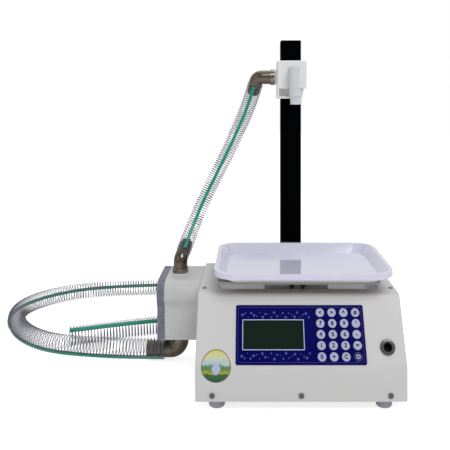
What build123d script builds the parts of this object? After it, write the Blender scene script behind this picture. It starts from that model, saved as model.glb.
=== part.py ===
from build123d import *
import math
import os

# Bench-top liquid filler: a scale with a tray on a sheet-metal housing, a gear pump on
# its left wall, and a column at the back that carries the filling nozzle.
# Millimetres, +Z up, +Y from the control panel to the back. The object stands on Z = 0.
# Places are written from the middle of the housing's front edge, then moved by body_x, body_y.

# ---- driving dimensions -------------------------------------------------------------
body_width = 350.0
body_depth = 255.0
body_bottom = 17.0
body_top = 177.0
bend_height = 72.0
slope_run = 56.5
wall = 1.5
bend_radius = 18.0
top_radius = 10.0
side_radius = 2.5

foot_radius = 13.5
foot_inset_x = 35.0
foot_inset_y = 22.0
foot_round = 5.0

front_screw_height = 27.0
front_screw_spacing = 147.0
screw_head_radius = 4.6
screw_head_height = 2.2
screw_radius = 2.0
screw_socket = 1.5
screw_socket_depth = 1.4
top_screw_x = 165.5
top_screw_y = 84.5
top_screw_head = 3.6
top_screw_height = 1.6
bolt_head_radius = 5.8
bolt_head_height = 4.0

overlay_width = 217.0
overlay_height = 94.5
overlay_thickness = 1.2
overlay_low = 4.8
overlay_corner = 3.0
window_width = 101.7
window_height = 46.0
window_middle_x = -45.4
window_low = 28.7
window_gap = 0.15
module_margin = 3.5
module_depth = 8.0
key_columns = 4
key_rows = 5
key_pitch_x = 20.1
key_pitch_y = 17.45
key_first_x = 34.6
key_first_y = 17.2
key_radius = 7.0
key_gap = 0.3
key_travel = 0.5
key_proud = 0.45
board_gap = 1.0
board_thickness = 1.6

socket_x = 144.6
socket_up = 31.7
socket_radius = 12.6
socket_nut_height = 4.0
socket_rim = 2.4
socket_sink = 0.8
socket_floor = 4.0
socket_thread_radius = 8.0
socket_hole_radius = 6.6
socket_depth = 18.0

well_width = 287.0
well_front = 80.0
well_back = 238.0
well_floor = 160.0
well_lip = 6.0
well_corner = 6.0
bracket_width = 112.0
bracket_front = 95.0
bracket_depth = 110.0
bracket_top = 195.6
bracket_clear = 3.0
sheet = 2.0
post_side = 26.0
cell_length = 130.0
cell_width = 30.0
cell_height = 24.0
cell_front = 97.0
cell_bolt_pitch = 14.0
cell_bolt_radius = 3.0
post_bolt_radius = 2.5
cell_bolt_head = 4.8
cell_waist_radius = 8.5
cell_waist_pitch = 22.0
stop_screw_spacing = 20.0

tray_width = 310.0
tray_depth = 222.0
tray_front = 22.0
tray_shift = 8.0
tray_flare = 13.0
tray_bottom = 200.6
tray_height = 19.4
tray_wall = 2.4
tray_corner = 38.0
tray_rim = 5.0
tray_lip = 10.0
plate_width = 281.0
plate_depth = 180.0
plate_front = 45.0
plate_thickness = 4.0
plate_corner = 8.0

column_width = 41.6
column_depth = 40.0
column_top = 634.0
column_wall = 3.0
column_gap = 0.3
panel_thickness = 1.5

block_left = 31.0
block_right = 25.4
block_depth = 70.0
block_bottom = 514.0
block_top = 588.0
clamp_wall = 4.2
clamp_height = 46.0
clamp_gap = 0.3
nozzle_x = 3.0
nozzle_y = 163.0
nozzle_tip = 503.0
nozzle_radius = 13.0
nozzle_tip_radius = 11.2
nozzle_bore = 5.5
channel_x = 0.35
channel_width = 19.7
knob_radius = 18.0

pump_length = 70.6
pump_front = 150.8
pump_back = 255.0
pump_bottom = 58.0
pump_top = 169.0
pump_lobe = 25.0
pump_crease = 40.0
lobe_overhang = 10.8
cover_screw_inset = 8.0
lobe_screw_inset = 14.0
cover_thickness = 14.4
gear_teeth = 14
gear_module = 2.6
gear_width = 34.0
gear_clear = 0.12
shaft_radius = 6.0
running = 0.05
port_x = -222.0
port_radius = 10.0
coupling_radius = 11.0
coupling_length = 22.0

elbow_radius = 13.7
small_hose_inner = 12.5
small_hose_outer = 16.0
large_hose_inner = 16.0
large_hose_outer = 20.0
inlet_tip = 288.0
inlet_pipe_radius = 16.4
fit = 0.15

# ---- places worked out from them ----------------------------------------------------
knob_reach = 26.0
body_x = (inlet_tip - body_width / 2) / 2
front_reach = screw_head_height
column_front = body_depth + panel_thickness + column_gap
column_back = column_front + column_depth
back_reach = column_back + clamp_gap + clamp_wall + knob_reach
body_y = -(back_reach - front_reach) / 2

slope_rise = body_top - bend_height
slope_length = math.hypot(slope_run, slope_rise)
slope_up = (0, slope_run / slope_length, slope_rise / slope_length)
slope_out = (0, -slope_rise / slope_length, slope_run / slope_length)
port_y = (pump_front + pump_back) / 2 + 1.0
gear_distance = gear_module * gear_teeth
drive_y = port_y - gear_distance / 2
idler_y = port_y + gear_distance / 2
axis_z = (pump_bottom + pump_top) / 2
pump_inner_x = -body_width / 2
pump_outer_x = pump_inner_x - pump_length
cover_outer_x = pump_outer_x - cover_thickness
block_back = column_front - clamp_gap - clamp_wall
block_front = block_back - block_depth
tray_middle = (tray_shift, tray_front + tray_depth / 2)


def at(x, y, z):
    """A place in the part's frame, from one measured from the housing's front edge."""
    return Vector(x + body_x, y + body_y, z)


def on_slope(x, up, out=0.0):
    """A plane on the sloping panel, its X along the panel and its Y up the slope."""
    origin = at(x, 0, bend_height) + Vector(*slope_up) * up + Vector(*slope_out) * out
    return Plane(origin=origin, x_dir=(1, 0, 0), z_dir=slope_out)


def level(z):
    """A level plane whose origin is over the middle of the housing's front edge."""
    return Plane(origin=at(0, 0, z), x_dir=(1, 0, 0), z_dir=(0, 0, 1))


def facing_back(x, y, z):
    """An upright plane with its normal along +Y and its X along -X."""
    return Plane(origin=at(x, y, z), x_dir=(-1, 0, 0), z_dir=(0, 1, 0))


def facing_front(x, y, z):
    """An upright plane with its normal along -Y and its X along +X."""
    return Plane(origin=at(x, y, z), x_dir=(1, 0, 0), z_dir=(0, -1, 0))


def facing_left(x):
    """An upright plane with its normal along -X, its X along -Y and its Y up."""
    return Plane(origin=at(x, 0, 0), x_dir=(0, -1, 0), z_dir=(-1, 0, 0))


def facing_right(x):
    """An upright plane with its normal along +X, its X along +Y and its Y up."""
    return Plane(origin=at(x, 0, 0), x_dir=(0, 1, 0), z_dir=(1, 0, 0))


def save(piece, name):
    """Label a finished piece and write its STEP file."""
    piece.part.label = name
    export_step(piece.part, f"parts/{name}.step")


def housing_profile():
    """The housing's outline from the side: upright front band, slope, top and back."""
    with BuildSketch(facing_right(-body_width / 2)) as profile:
        with BuildLine():
            Polyline(
                (0, body_bottom),
                (0, bend_height),
                (slope_run, body_top),
                (body_depth, body_top),
                (body_depth, body_bottom),
                close=True,
            )
        make_face()
        corners = (
            ((0, bend_height), bend_radius),
            ((slope_run, body_top), top_radius),
            ((body_depth, body_top), top_radius),
        )
        for corner, radius in corners:
            fillet(profile.vertices().sort_by_distance(corner)[0], radius)
    return profile.sketch


os.makedirs("parts", exist_ok=True)

# ---- housing ------------------------------------------------------------------------
inner_profile = offset(housing_profile(), amount=-wall).moved(Location((wall, 0, 0)))
below = Location((0, 0, -2 * wall))
rear_opening_width = body_width - 50.0
rear_opening_low = body_bottom + 14.0
rear_opening_high = body_top - 26.0
rear_opening_middle = (rear_opening_low + rear_opening_high) / 2
front_screw_columns = (-front_screw_spacing, 0.0, front_screw_spacing)
front_screws = [(x, 0) for x in front_screw_columns]

with BuildPart() as housing_shell:
    add(extrude(housing_profile(), amount=body_width))
    ends = housing_shell.faces().filter_by(Axis.X)
    side_edges = ends.edges().filter_by(lambda edge: edge.center().Z > body_bottom + 1)
    fillet(side_edges, side_radius)
    extrude(inner_profile, amount=body_width - 2 * wall, mode=Mode.SUBTRACT)
    extrude(inner_profile.moved(below), amount=body_width - 2 * wall, mode=Mode.SUBTRACT)
    with BuildSketch(level(body_top)):
        with Locations((0, (well_front + well_back) / 2)):
            RectangleRounded(well_width, well_back - well_front, well_corner)
    extrude(amount=-2 * wall, mode=Mode.SUBTRACT)
    with BuildSketch(facing_back(0, body_depth, rear_opening_middle)):
        Rectangle(rear_opening_width, rear_opening_high - rear_opening_low)
    extrude(amount=-2 * wall, mode=Mode.SUBTRACT)
    with BuildSketch(facing_front(0, 0, front_screw_height)):
        with Locations(*front_screws):
            Circle(screw_radius + fit)
    extrude(amount=-2 * wall, mode=Mode.SUBTRACT)
    with BuildSketch(on_slope(window_middle_x, window_low + window_height / 2)):
        Rectangle(window_width - 2 * module_margin, window_height - 2 * module_margin)
    extrude(amount=-3 * wall, mode=Mode.SUBTRACT)
    with BuildSketch(on_slope(socket_x, socket_up)):
        Circle(socket_thread_radius + fit)
    extrude(amount=-3 * wall, mode=Mode.SUBTRACT)
    with BuildSketch(level(body_top)):
        with Locations((-top_screw_x, top_screw_y), (top_screw_x, top_screw_y)):
            Circle(screw_radius + fit)
    extrude(amount=-2 * wall, mode=Mode.SUBTRACT)
    with BuildSketch(facing_left(-body_width / 2)):
        with Locations((-drive_y, axis_z)):
            Circle(coupling_radius)
    extrude(amount=-2 * wall, mode=Mode.SUBTRACT)
save(housing_shell, "housing_shell")

flange_height = 16.0
plate_gap = 0.3
plate_bottom = body_bottom
vent_length = 36.0
vent_width = 5.0
vent_pitch_x = 60.0
vent_pitch_y = 40.0
with BuildPart() as base_plate:
    with BuildSketch(level(plate_bottom)):
        with Locations((0, body_depth / 2)):
            Rectangle(body_width - 2 * wall - 2 * plate_gap, body_depth - 2 * wall - 2 * plate_gap)
    extrude(amount=sheet)
    with BuildSketch(level(plate_bottom)):
        with Locations((0, wall + plate_gap + sheet / 2)):
            Rectangle(body_width - 2 * wall - 2 * plate_gap, sheet)
        with Locations((0, body_depth - wall - plate_gap - sheet / 2)):
            Rectangle(body_width - 2 * wall - 2 * plate_gap, sheet)
    extrude(amount=flange_height)
    with BuildSketch(facing_front(0, 0, front_screw_height)):
        with Locations(*front_screws):
            Circle(screw_radius + fit)
    extrude(amount=-2 * wall - 2 * sheet, mode=Mode.SUBTRACT)
    with BuildSketch(level(plate_bottom)):
        with Locations((0, body_depth / 2)):
            with GridLocations(vent_pitch_x, vent_pitch_y, 4, 2):
                SlotOverall(vent_length, vent_width)
    extrude(amount=sheet, mode=Mode.SUBTRACT)
save(base_plate, "base_plate")

with BuildPart() as rubber_feet:
    foot_span_x = body_width - 2 * foot_inset_x
    foot_span_y = body_depth - 2 * foot_inset_y
    with Locations(level(0) * Location((0, body_depth / 2, 0))):
        with GridLocations(foot_span_x, foot_span_y, 2, 2):
            Cylinder(foot_radius, body_bottom, align=(Align.CENTER, Align.CENTER, Align.MIN))
    fillet(rubber_feet.edges().group_by(Axis.Z)[0], foot_round)
save(rubber_feet, "rubber_feet")

# ---- rear panel, power inlet and switch ----------------------------------------------
panel_margin = 9.0
panel_width = rear_opening_width + 2 * panel_margin
panel_height = rear_opening_high - rear_opening_low + 2 * panel_margin
inlet_x = 110.0
inlet_z = 78.0
inlet_width = 38.0
inlet_height = 54.0
inlet_flange = 4.0
inlet_flange_height = 2.5
inlet_depth = 24.0
inlet_wall = 1.5
socket_z = inlet_z - 11.0
socket_width = 25.0
socket_height = 18.0
rocker_z = inlet_z + 16.0
rocker_width = 19.0
rocker_height = 15.0
panel_screw_x = panel_width / 2 - panel_margin / 2
panel_screw_z = panel_height / 2 - panel_margin / 2
column_bolt_radius = 3.0
column_bolt_heights = (52.0, 92.0, 132.0)
louvre_length = 70.0
louvre_width = 4.0
louvre_pitch = 11.0
louvre_count = 7

with BuildPart() as rear_panel:
    with BuildSketch(facing_back(0, body_depth, rear_opening_middle)):
        RectangleRounded(panel_width, panel_height, 4)
        with GridLocations(2 * panel_screw_x, 2 * panel_screw_z, 2, 2):
            Circle(screw_radius + fit, mode=Mode.SUBTRACT)
    extrude(amount=panel_thickness)
    with BuildSketch(facing_back(0, body_depth, 0)):
        with Locations((-inlet_x, inlet_z)):
            Rectangle(inlet_width + 2 * fit, inlet_height + 2 * fit)
        with Locations(*[(0, height) for height in column_bolt_heights]):
            Circle(column_bolt_radius + fit)
        with Locations((inlet_x, rear_opening_middle)):
            with GridLocations(0, louvre_pitch, 1, louvre_count):
                SlotOverall(louvre_length, louvre_width)
    extrude(amount=panel_thickness, mode=Mode.SUBTRACT)
save(rear_panel, "rear_panel")

inlet_face = body_depth + panel_thickness
pin_spread = 7.0
pin_width = 2.0
pin_height = 4.0
pin_length = inlet_depth - 4.0
with BuildPart() as power_inlet:
    with BuildSketch(facing_back(inlet_x, inlet_face, inlet_z)):
        RectangleRounded(inlet_width + 2 * inlet_flange, inlet_height + 2 * inlet_flange, 3)
    extrude(amount=inlet_flange_height)
    with BuildSketch(facing_back(inlet_x, inlet_face, inlet_z)):
        Rectangle(inlet_width, inlet_height)
    extrude(amount=-inlet_depth)
    with BuildSketch(facing_back(inlet_x, inlet_face + inlet_flange_height, 0)):
        with Locations((0, socket_z)):
            RectangleRounded(socket_width, socket_height, 2)
        with Locations((0, rocker_z)):
            Rectangle(rocker_width, rocker_height)
    extrude(amount=-inlet_depth - inlet_flange_height + inlet_wall, mode=Mode.SUBTRACT)
    with BuildSketch(facing_back(inlet_x, inlet_face - inlet_depth, socket_z)):
        with Locations((-pin_spread, -1.5), (0, 2), (pin_spread, -1.5)):
            Rectangle(pin_width, pin_height)
    extrude(amount=pin_length)
save(power_inlet, "power_inlet")

rocker_axis_y = inlet_face
rocker_side = rocker_width - 4 * fit
rocker_half = rocker_height / 2 - 2.0
with BuildPart() as switch_rocker:
    with BuildSketch(facing_right(inlet_x - rocker_side / 2)):
        with BuildLine():
            Polyline(
                (rocker_axis_y + 4.5, rocker_z - rocker_half),
                (rocker_axis_y + 3.4, rocker_z),
                (rocker_axis_y + 5.6, rocker_z + rocker_half),
                (rocker_axis_y - 2.5, rocker_z + rocker_half - 1.2),
                (rocker_axis_y - 4.0, rocker_z),
                (rocker_axis_y - 2.5, rocker_z - rocker_half + 1.2),
                close=True,
            )
        make_face()
    extrude(amount=rocker_side)
save(switch_rocker, "switch_rocker")

# ---- screws of the housing: front, rear panel, top, and the column's bolts -------------
front_screw_length = 8.0
top_screw_length = 6.0
bolt_past_panel = 8.0
with BuildPart() as housing_screws:
    for x in front_screw_columns:
        with BuildSketch(facing_front(x, 0, front_screw_height)):
            Circle(screw_head_radius)
        extrude(amount=screw_head_height)
        with BuildSketch(facing_front(x, 0, front_screw_height)):
            Circle(screw_radius)
        extrude(amount=-front_screw_length)
        with BuildSketch(facing_front(x, -screw_head_height, front_screw_height)):
            RegularPolygon(screw_socket, 6)
        extrude(amount=-screw_socket_depth, mode=Mode.SUBTRACT)
    for x in (-panel_screw_x, panel_screw_x):
        for up in (-panel_screw_z, panel_screw_z):
            with BuildSketch(facing_back(x, inlet_face, rear_opening_middle + up)):
                Circle(screw_head_radius * 0.8)
            extrude(amount=screw_head_height)
            with BuildSketch(facing_back(x, body_depth, rear_opening_middle + up)):
                Circle(screw_radius)
            extrude(amount=panel_thickness)
    heads = housing_screws.faces().filter_by(Axis.Y).edges().filter_by(GeomType.CIRCLE)
    outer = heads.filter_by(lambda edge: edge.radius > screw_radius * 1.5)
    fillet(outer.group_by(Axis.Y)[0] + outer.group_by(Axis.Y)[-1], 1.0)
    with BuildSketch(level(body_top)):
        with Locations((-top_screw_x, top_screw_y), (top_screw_x, top_screw_y)):
            Circle(top_screw_head)
    extrude(amount=top_screw_height)
    with BuildSketch(level(body_top)):
        with Locations((-top_screw_x, top_screw_y), (top_screw_x, top_screw_y)):
            Circle(screw_radius)
    extrude(amount=-top_screw_length)
    for height in column_bolt_heights:
        with BuildSketch(facing_back(0, column_back, height)):
            RegularPolygon(bolt_head_radius, 6)
        extrude(amount=bolt_head_height)
        with BuildSketch(facing_back(0, column_back, height)):
            Circle(column_bolt_radius)
        extrude(amount=-(column_back - body_depth) - bolt_past_panel)
        with BuildSketch(facing_back(0, body_depth, height)):
            RegularPolygon(bolt_head_radius, 6)
        extrude(amount=-bolt_head_height)
save(housing_screws, "housing_screws")

# ---- well, load cell and platform bracket under the tray -------------------------------
well_middle = (well_front + well_back) / 2
well_depth = well_back - well_front
post_clear = 3.0
post_inset = 4.0
post_thread = 16.0
cell_top = well_floor - wall - 2.0
cell_middle = cell_front + cell_length / 2
post_y = cell_front + post_side / 2 + post_inset
fixed_y = cell_front + cell_length - post_side / 2 - post_inset
stop_y = (well_front + bracket_front) / 2

with BuildPart() as well_pan:
    with BuildSketch(level(body_top - wall)):
        with Locations((0, well_middle)):
            RectangleRounded(well_width + 2 * well_lip, well_depth + 2 * well_lip, well_corner)
    extrude(amount=-wall)
    with BuildSketch(level(body_top - 2 * wall)):
        with Locations((0, well_middle)):
            RectangleRounded(well_width, well_depth, well_corner)
    extrude(amount=well_floor - wall - body_top + 2 * wall)
    with BuildSketch(level(body_top - wall)):
        with Locations((0, well_middle)):
            RectangleRounded(well_width - 2 * wall, well_depth - 2 * wall, well_corner - wall)
    extrude(amount=well_floor - body_top + wall, mode=Mode.SUBTRACT)
    with BuildSketch(level(well_floor)):
        with Locations((0, post_y)):
            Rectangle(post_side + 2 * post_clear, post_side + 2 * post_clear)
        with Locations((0, fixed_y)):
            with GridLocations(0, cell_bolt_pitch, 1, 2):
                Circle(cell_bolt_radius + fit)
        with Locations((0, stop_y)):
            with GridLocations(stop_screw_spacing, 0, 2, 1):
                Circle(screw_radius + fit)
    extrude(amount=-wall, mode=Mode.SUBTRACT)
save(well_pan, "well_pan")

with BuildPart() as load_cell:
    with BuildSketch(level(cell_top - cell_height)):
        with Locations((0, cell_middle)):
            Rectangle(cell_width, cell_length)
    extrude(amount=cell_height)
    with BuildSketch(level(cell_top)):
        with Locations((0, fixed_y)):
            Rectangle(cell_width, post_side)
    extrude(amount=well_floor - wall - cell_top)
    with BuildSketch(facing_right(-cell_width / 2)):
        with Locations((cell_middle, cell_top - cell_height / 2)):
            with GridLocations(cell_waist_pitch, 0, 2, 1):
                Circle(cell_waist_radius)
            Rectangle(cell_waist_pitch, cell_height / 4)
    extrude(amount=cell_width, mode=Mode.SUBTRACT)
    with BuildSketch(level(well_floor)):
        with Locations((0, post_y), (0, fixed_y)):
            with GridLocations(0, cell_bolt_pitch, 1, 2):
                Circle(cell_bolt_radius + fit)
    extrude(amount=cell_top - cell_height - well_floor, mode=Mode.SUBTRACT)
save(load_cell, "load_cell")

bracket_bottom = well_floor + bracket_clear
bracket_middle = bracket_front + bracket_depth / 2
with BuildPart() as platform_bracket:
    with BuildSketch(level(bracket_bottom)):
        with Locations((0, bracket_middle)):
            Rectangle(bracket_width, bracket_depth)
    extrude(amount=bracket_top - bracket_bottom)
    fillet(platform_bracket.edges().filter_by(Axis.Z), 2.5)
    fillet(platform_bracket.edges().group_by(Axis.Z)[-1], 1.5)
    with BuildSketch(level(bracket_bottom)):
        with Locations((0, bracket_middle)):
            Rectangle(bracket_width - 2 * sheet, bracket_depth - 2 * sheet)
    extrude(amount=bracket_top - bracket_bottom - sheet, mode=Mode.SUBTRACT)
    with BuildSketch(level(cell_top)):
        with Locations((0, post_y)):
            Rectangle(post_side, post_side)
    extrude(amount=bracket_top - sheet - cell_top)
    with BuildSketch(level(cell_top)):
        with Locations((0, post_y)):
            with GridLocations(0, cell_bolt_pitch, 1, 2):
                Circle(post_bolt_radius)
    extrude(amount=post_thread, mode=Mode.SUBTRACT)
save(platform_bracket, "platform_bracket")

plate_middle = (0, plate_front + plate_depth / 2)
with BuildPart() as platform_plate:
    with BuildSketch(level(bracket_top)):
        with Locations(plate_middle):
            RectangleRounded(plate_width, plate_depth, plate_corner)
    extrude(amount=plate_thickness)
save(platform_plate, "platform_plate")

post_bolt_length = cell_height + post_thread - 2.0
fixed_bolt_length = 30.0
post_bolt_head = 4.0
fixed_bolt_head = bracket_clear - 0.2
with BuildPart() as load_cell_bolts:
    with BuildSketch(level(cell_top - cell_height)):
        with Locations((0, post_y)):
            with GridLocations(0, cell_bolt_pitch, 1, 2):
                Circle(post_bolt_radius - running)
    extrude(amount=post_bolt_length)
    with BuildSketch(level(cell_top - cell_height)):
        with Locations((0, post_y)):
            with GridLocations(0, cell_bolt_pitch, 1, 2):
                Circle(cell_bolt_head)
    extrude(amount=-post_bolt_head)
    with BuildSketch(level(well_floor)):
        with Locations((0, fixed_y)):
            with GridLocations(0, cell_bolt_pitch, 1, 2):
                Circle(cell_bolt_radius)
    extrude(amount=-fixed_bolt_length)
    with BuildSketch(level(well_floor)):
        with Locations((0, fixed_y)):
            with GridLocations(0, cell_bolt_pitch, 1, 2):
                Circle(cell_bolt_head)
    extrude(amount=fixed_bolt_head)
save(load_cell_bolts, "load_cell_bolts")

stop_head_low = body_top + 2.5
stop_head_radius = 4.8
stop_head_height = 4.5
stop_nut_radius = 3.8
stop_nut_height = 3.0
stop_below = 6.0
with BuildPart() as stop_screws:
    with BuildSketch(level(well_floor - stop_below)):
        with Locations((0, stop_y)):
            with GridLocations(stop_screw_spacing, 0, 2, 1):
                Circle(screw_radius)
    extrude(amount=stop_head_low - well_floor + stop_below)
    with BuildSketch(level(stop_head_low)):
        with Locations((0, stop_y)):
            with GridLocations(stop_screw_spacing, 0, 2, 1):
                Circle(stop_head_radius)
    extrude(amount=stop_head_height)
    fillet(stop_screws.edges().group_by(Axis.Z)[-1], 1.8)
    with BuildSketch(level(well_floor)):
        with Locations((0, stop_y)):
            with GridLocations(stop_screw_spacing, 0, 2, 1):
                RegularPolygon(stop_nut_radius, 6)
    extrude(amount=stop_nut_height)
save(stop_screws, "stop_screws")

# ---- tray ---------------------------------------------------------------------------
tray_top = tray_bottom + tray_height
floor_width = tray_width - 2 * (tray_rim + tray_flare)
floor_depth = tray_depth - 2 * (tray_rim + tray_flare)
mouth_width = tray_width - 2 * tray_rim
mouth_depth = tray_depth - 2 * tray_rim
floor_corner = tray_corner - tray_rim - tray_flare * 0.5
mouth_corner = tray_corner - tray_rim
base_fillet = 5.0
seat_top = bracket_top + plate_thickness
seat_rib = tray_bottom - seat_top
seat_width = plate_width - 60.0
seat_depth = plate_depth - 40.0
seat_thickness = 3.0
inner_corner = mouth_corner - tray_wall
with BuildPart() as tray:
    with BuildSketch(level(tray_bottom)):
        with Locations(tray_middle):
            RectangleRounded(floor_width, floor_depth, floor_corner)
    with BuildSketch(level(tray_top)):
        with Locations(tray_middle):
            RectangleRounded(mouth_width, mouth_depth, mouth_corner)
    loft()
    fillet(tray.edges().group_by(Axis.Z)[0], base_fillet)
    with BuildSketch(level(tray_top)):
        with Locations(tray_middle):
            RectangleRounded(tray_width, tray_depth, tray_corner)
    extrude(amount=-tray_wall)
    with BuildSketch(level(tray_bottom + tray_wall)):
        with Locations(tray_middle):
            RectangleRounded(
                floor_width - 2 * tray_wall, floor_depth - 2 * tray_wall, floor_corner - tray_wall
            )
    with BuildSketch(level(tray_top)):
        with Locations(tray_middle):
            RectangleRounded(mouth_width - 2 * tray_wall, mouth_depth - 2 * tray_wall, inner_corner)
    loft(mode=Mode.SUBTRACT)
    with BuildSketch(level(seat_top)):
        with Locations(plate_middle):
            Rectangle(seat_width, seat_depth)
            Rectangle(
                seat_width - 2 * seat_thickness, seat_depth - 2 * seat_thickness, mode=Mode.SUBTRACT
            )
    extrude(amount=seat_rib)
    with BuildSketch(level(tray_top)):
        with Locations(tray_middle):
            RectangleRounded(tray_width, tray_depth, tray_corner)
            RectangleRounded(
                tray_width - 2 * tray_wall,
                tray_depth - 2 * tray_wall,
                tray_corner - tray_wall,
                mode=Mode.SUBTRACT,
            )
    extrude(amount=-tray_lip)
save(tray, "tray")

# ---- control panel: overlay, window, keys, board and socket ----------------------------
overlay_middle = overlay_low + overlay_height / 2
key_places = []
for row in range(key_rows):
    for column in range(key_columns):
        place = (key_first_x + column * key_pitch_x, key_first_y + row * key_pitch_y)
        key_places.append((row + 1, column + 1, place))

with BuildPart() as keypad_overlay:
    with BuildSketch(on_slope(0, 0)):
        with Locations((0, overlay_middle)):
            RectangleRounded(overlay_width, overlay_height, overlay_corner)
        with Locations((window_middle_x, window_low + window_height / 2)):
            Rectangle(
                window_width + 2 * window_gap, window_height + 2 * window_gap, mode=Mode.SUBTRACT
            )
        with Locations(*[place for _, _, place in key_places]):
            Circle(key_radius + key_gap, mode=Mode.SUBTRACT)
    extrude(amount=overlay_thickness)
save(keypad_overlay, "keypad_overlay")

with BuildPart() as lcd_window:
    with BuildSketch(on_slope(window_middle_x, window_low + window_height / 2)):
        Rectangle(window_width, window_height)
    extrude(amount=overlay_thickness - 0.2)
    with BuildSketch(on_slope(window_middle_x, window_low + window_height / 2)):
        Rectangle(
            window_width - 2 * module_margin - 2 * fit, window_height - 2 * module_margin - 2 * fit
        )
    extrude(amount=-module_depth)
save(lcd_window, "lcd_window")

key_height = 1.1
key_round = 0.3
key_low = overlay_thickness + key_proud - key_height
for row, column, place in key_places:
    with BuildPart() as panel_key:
        with BuildSketch(on_slope(place[0], place[1], key_low)):
            Circle(key_radius)
        extrude(amount=key_height)
        top_edge = panel_key.edges().filter_by(GeomType.CIRCLE).sort_by(Axis.Z)[-1]
        fillet(top_edge, key_round)
    save(panel_key, f"key_row{row}_column{column}")

board_low = -module_depth - board_gap - board_thickness
board_width = overlay_width - 24.0
board_height = overlay_height - 14.0
spacer_radius = 3.0
spacer_inset = 4.0
plug_x = 50.0
plug_height = 6.0
with BuildPart() as control_board:
    with BuildSketch(on_slope(0, overlay_middle, board_low)):
        Rectangle(board_width, board_height)
    extrude(amount=board_thickness)
    with BuildSketch(on_slope(0, overlay_middle, board_low + board_thickness)):
        with GridLocations(board_width - 2 * spacer_inset, board_height - 2 * spacer_radius, 2, 2):
            Circle(spacer_radius)
    extrude(amount=-board_low - board_thickness - wall)
    with BuildSketch(on_slope(plug_x, overlay_middle, board_low)):
        with GridLocations(34, 30, 2, 2):
            Rectangle(22, 18)
    extrude(amount=-plug_height)
save(control_board, "control_board")

with BuildPart() as socket_ring:
    with BuildSketch(on_slope(socket_x, socket_up)):
        Circle(socket_radius)
        Circle(socket_thread_radius + fit, mode=Mode.SUBTRACT)
    extrude(amount=socket_nut_height)
    rim = socket_ring.edges().filter_by(GeomType.CIRCLE)
    outer_rim = rim.filter_by(lambda edge: edge.radius > socket_radius - 0.1).sort_by(Axis.Z)
    fillet(outer_rim[-1], socket_rim)
save(socket_ring, "socket_ring")

with BuildPart() as socket_insert:
    with BuildSketch(on_slope(socket_x, socket_up, socket_nut_height - socket_sink)):
        Circle(socket_thread_radius)
    extrude(amount=-socket_depth - socket_floor)
    with BuildSketch(on_slope(socket_x, socket_up, socket_nut_height - socket_sink)):
        Circle(socket_hole_radius)
    extrude(amount=-socket_depth, mode=Mode.SUBTRACT)
    with BuildSketch(on_slope(socket_x, socket_up, -wall)):
        Circle(socket_thread_radius + 2.5)
        Circle(socket_thread_radius - 0.5, mode=Mode.SUBTRACT)
    extrude(amount=-3)
save(socket_insert, "socket_insert")

# ---- power supply and motor inside the housing ------------------------------------------
supply_x = 70.0
supply_y = 175.0
supply_length = 110.0
supply_width = 82.0
supply_height = 36.0
supply_slot_pitch = 9.0
supply_slot_count = 6
with BuildPart() as power_supply:
    with BuildSketch(level(plate_bottom + sheet)):
        with Locations((supply_x, supply_y)):
            Rectangle(supply_length, supply_width)
    extrude(amount=supply_height)
    with BuildSketch(facing_right(supply_x + supply_length / 2)):
        with Locations((supply_y, plate_bottom + sheet + supply_height / 2)):
            with GridLocations(supply_slot_pitch, 0, supply_slot_count, 1):
                SlotOverall(24, 4, rotation=90)
    extrude(amount=-wall, mode=Mode.SUBTRACT)
save(power_supply, "power_supply")

motor_left = pump_inner_x + wall
motor_flange = 6.0
motor_flange_side = 62.0
gearbox_length = 36.0
motor_length = 72.0
gearbox_radius = 30.0
motor_radius = 26.0
motor_shaft_inner = 24.0
with BuildPart() as gear_motor:
    with BuildSketch(facing_right(motor_left)):
        with Locations((drive_y, axis_z)):
            RectangleRounded(motor_flange_side, motor_flange_side, motor_flange)
    extrude(amount=motor_flange)
    with BuildSketch(facing_right(motor_left + motor_flange)):
        with Locations((drive_y, axis_z)):
            Circle(gearbox_radius)
    extrude(amount=gearbox_length)
    with BuildSketch(facing_right(motor_left + motor_flange + gearbox_length)):
        with Locations((drive_y, axis_z)):
            Circle(motor_radius)
    extrude(amount=motor_length)
    with BuildSketch(facing_right(motor_left)):
        with Locations((drive_y, axis_z)):
            Circle(shaft_radius + running)
    extrude(amount=motor_shaft_inner + 1, mode=Mode.SUBTRACT)
save(gear_motor, "gear_motor")

# ---- pump ---------------------------------------------------------------------------
chamber_inner_x = pump_outer_x + gear_width + 2 * gear_clear
coupling_gap = 2.0
cavity_depth = coupling_length + 2 * coupling_gap
addendum = 0.85 * gear_module
dedendum = 1.15 * gear_module
pressure_angle = math.radians(25)
pitch_radius = gear_module * gear_teeth / 2
base_radius = pitch_radius * math.cos(pressure_angle)
tip_radius = pitch_radius + addendum
root_radius = pitch_radius - dedendum
backlash = 0.12
chamber_radius = tip_radius + gear_clear
cover_bore_depth = 9.0
shaft_end = cover_outer_x + cover_thickness - cover_bore_depth + 0.5


def pump_outline(plane):
    """The outline that the pump body and its cover share, with a lobe at the upper front."""
    lobe_y = pump_front + pump_lobe - lobe_overhang
    lobe_z = pump_top - pump_lobe
    with BuildSketch(plane) as outline:
        with Locations((-(lobe_y + pump_back) / 2, (pump_bottom + pump_top) / 2)):
            Rectangle(pump_back - lobe_y, pump_top - pump_bottom)
        with Locations((-(pump_front + pump_back) / 2, (pump_bottom + lobe_z) / 2)):
            Rectangle(pump_back - pump_front, lobe_z - pump_bottom)
        with Locations((-lobe_y, lobe_z)):
            Circle(pump_lobe)
        crease_z = lobe_z - math.sqrt(pump_lobe**2 - (lobe_y - pump_front) ** 2)
        crease = outline.vertices().sort_by_distance((-pump_front, crease_z))[0]
        fillet(crease, pump_crease)
    return outline.sketch


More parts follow.
